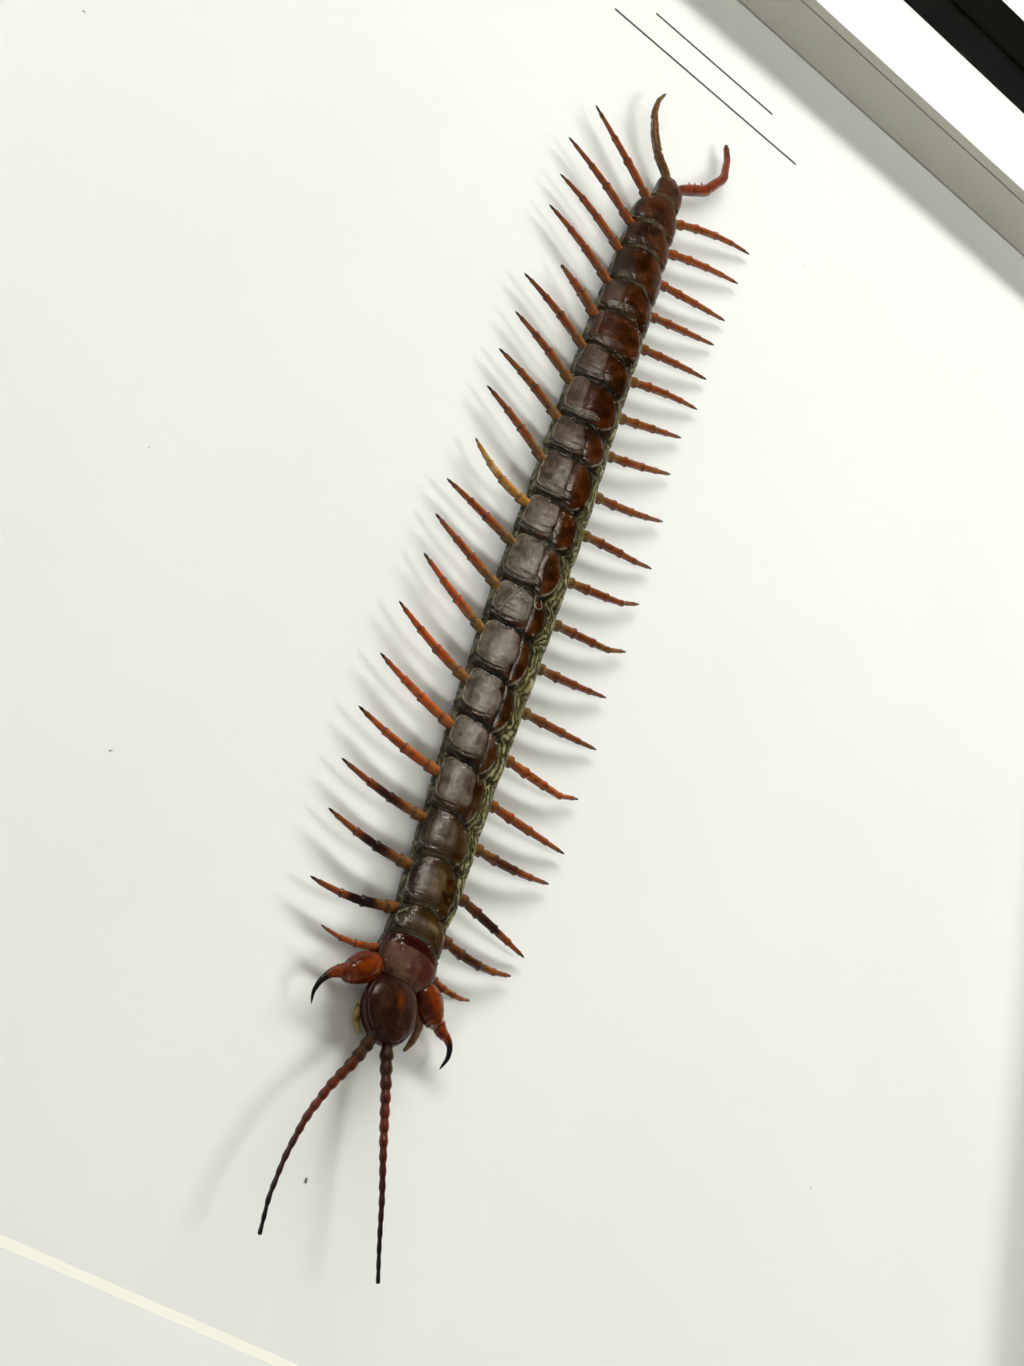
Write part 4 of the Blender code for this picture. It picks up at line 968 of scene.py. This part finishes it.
def dress_frame():
    """The finish of the frame, the glass, the boards and the fittings."""
    sides = ("bottom", "top", "left", "right")
    for axis, stretch, rails in (("x", (0.05, 1.0, 1.0), sides[:2]), ("y", (1.0, 0.05, 1.0), sides[2:])):
        wood = black_lacquered_wood(f"black_lacquer_rails_{axis}", stretch)
        set_look(wood, *(f"frame_rail_{side}" for side in rails))
    set_look(paper_board("white_core_mat_board", "#f6f8f2", "#ecefe8", "#d3d1c3", 0.3)[0], "mat_board")
    set_look(printed_card("white_mounting_card"), "backing_card")
    set_look(foam_board("white_foam_spacer"), *(f"spacer_{side}" for side in sides))
    set_look(picture_glass("low_reflection_picture_glass"), "glass_pane")
    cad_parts["glass_pane"].visible_shadow = False
    set_look(tempered_hardboard("tempered_hardboard"), "back_board")
    fittings = ["hanger", "hanger_nail_left", "hanger_nail_right", *(f"back_point_{i}" for i in range(1, 9))]
    set_look(zinc_plated_steel("zinc_plated_steel"), *fittings)


# Stage, lights and camera

CAMERA_PLACE = (0.0933, 0.1937, 0.1992)
CAMERA_RIGHT, CAMERA_DOWN = (-0.78267, -0.2469, 0.57137), (-0.51026, 0.78021, -0.36182)
CAMERA_AHEAD = (-0.35645, -0.57473, -0.73663)
FOCAL_PIXELS, FRAME_HEIGHT_PIXELS, SENSOR = 1650, 1366, 36.0
BRIGHT_SIDE, ROOM_STRENGTH, BACKDROP_STRENGTH, MIRRORED_SHARE = (0.75, 0.65, 0.1), 0.65, 0.8, 0.1
FLOOR_HALF, FLOOR_DROP = 2.5, 0.0005


def add_camera():
    """The photograph's view: from above the head end, looking down towards the tail."""
    data = bpy.data.cameras.new("photo_camera")
    data.sensor_width = SENSOR
    data.lens = FOCAL_PIXELS / FRAME_HEIGHT_PIXELS * SENSOR
    data.clip_start = 0.005
    camera = bpy.data.objects.new("photo_camera", data)
    axes = (Vector(CAMERA_RIGHT), -Vector(CAMERA_DOWN), -Vector(CAMERA_AHEAD))
    camera.matrix_world = Matrix.Translation(CAMERA_PLACE) @ Matrix(axes).transposed().to_4x4()
    bpy.context.scene.collection.objects.link(camera)
    bpy.context.scene.camera = camera


def add_soft_light(name, azimuth, elevation, distance, size, power, tint, diffuse=True, glossy=True):
    """A rectangular soft light that faces the animal. Its azimuth runs from -Y, the tail end, towards +X.

    The glass doesn't mirror it, the foam at the head end stays in shade, and the two rails on the
    light's side let it pass, as their low edges do in the photograph. A light for gloss alone is sampled
    from itself only: what the shell mirrors comes through the pane, which doesn't receive the light, so
    a shared sampling would lose most of it.
    """
    data = bpy.data.lights.new(name, "AREA")
    data.shape = "RECTANGLE"
    data.size, data.size_y = size
    data.energy = power
    data.color = linear(tint)
    light = bpy.data.objects.new(name, data)
    turn, lift = math.radians(azimuth), math.radians(elevation)
    towards = Vector((math.sin(turn) * math.cos(lift), -math.cos(turn) * math.cos(lift), math.sin(lift)))
    light.location = towards * distance
    light.visible_diffuse, light.visible_glossy = diffuse, glossy
    data.cycles.use_multiple_importance_sampling = diffuse
    light.rotation_euler = towards.to_track_quat("Z", "Y").to_euler()
    for role, nodes in (("receiver_collection", ["glass_pane", "spacer_top"]),
                        ("blocker_collection", ["frame_rail_bottom", "frame_rail_left"])):
        left_out = bpy.data.collections.new(f"{name}_{role}")
        setattr(light.light_linking, role, left_out)
        for node in nodes:
            left_out.objects.link(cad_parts[node])
        for member in left_out.collection_objects:
            member.light_linking.link_state = "EXCLUDE"
    bpy.context.scene.collection.objects.link(light)


def add_room_light():
    """Soft light from the studio's bright side, behind the camera, and a plain pale backdrop.

    The strength is a smooth step of the direction's share along the bright side, so that the glass mirrors
    only the dim side in the photograph's view. Light that has bounced off a gloss counts for a small share,
    which keeps a milky veil off the dark shell.
    """
    world = bpy.data.worlds.new("soft_room")
    world.use_nodes = True
    tree = world.node_tree
    place = add_node(tree, "TexCoord", {}, "Generated")
    towards = add_node(tree, "VectorMath", {0: place, 1: BRIGHT_SIDE}, "Value", operation="DOT_PRODUCT")
    level = add_node(tree, "MapRange", {"Value": towards, 1: -0.25, 2: 0.2, 3: 0.0, 4: ROOM_STRENGTH},
                     interpolation_type="SMOOTHSTEP")
    bounces = add_node(tree, "LightPath", {}, "Glossy Depth")
    mirrored = add_node(tree, "MapRange", {"Value": bounces, 3: 1.0, 4: MIRRORED_SHARE})
    lit = add_node(tree, "Math", {0: level, 1: mirrored}, operation="MULTIPLY")
    seen = add_node(tree, "LightPath", {}, "Is Camera Ray")
    strength = add_node(tree, "Mix", {0: seen, 2: lit, 3: BACKDROP_STRENGTH})
    fill(tree, tree.nodes["Background"], {"Color": paint("#f4f1ea"), "Strength": strength})
    world.cycles_visibility.glossy = False
    bpy.context.scene.world = world


def add_stage():
    """The pale floor, the studio's even light and three soft lights."""
    mesh = bpy.data.meshes.new("studio_floor")
    corners = [(x * FLOOR_HALF, y * FLOOR_HALF, -FLOOR_DROP) for x, y in ((-1, -1), (1, -1), (1, 1), (-1, 1))]
    mesh.from_pydata(corners, [], [(0, 1, 2, 3)])
    mesh.materials.append(pale_floor("pale_studio_floor"))
    floor = bpy.data.objects.new("studio_floor", mesh)
    bpy.context.scene.collection.objects.link(floor)
    add_room_light()
    add_soft_light("long_window", azimuth=-6, elevation=29, distance=0.88, size=(1.35, 0.1), power=13.3,
                   tint="#fefeff", glossy=False)
    add_soft_light("side_window", azimuth=-88, elevation=39, distance=1.3, size=(0.35, 0.3), power=5.9,
                   tint="#fefefc", glossy=False)
    add_soft_light("sheen_window", azimuth=40, elevation=45, distance=1.3, size=(0.55, 0.2), power=3.4,
                   tint="#fff4e6", diffuse=False)


add_camera()
dress_centipede()
dress_frame()
add_stage()
bpy.context.scene.view_settings.view_transform = "Standard"
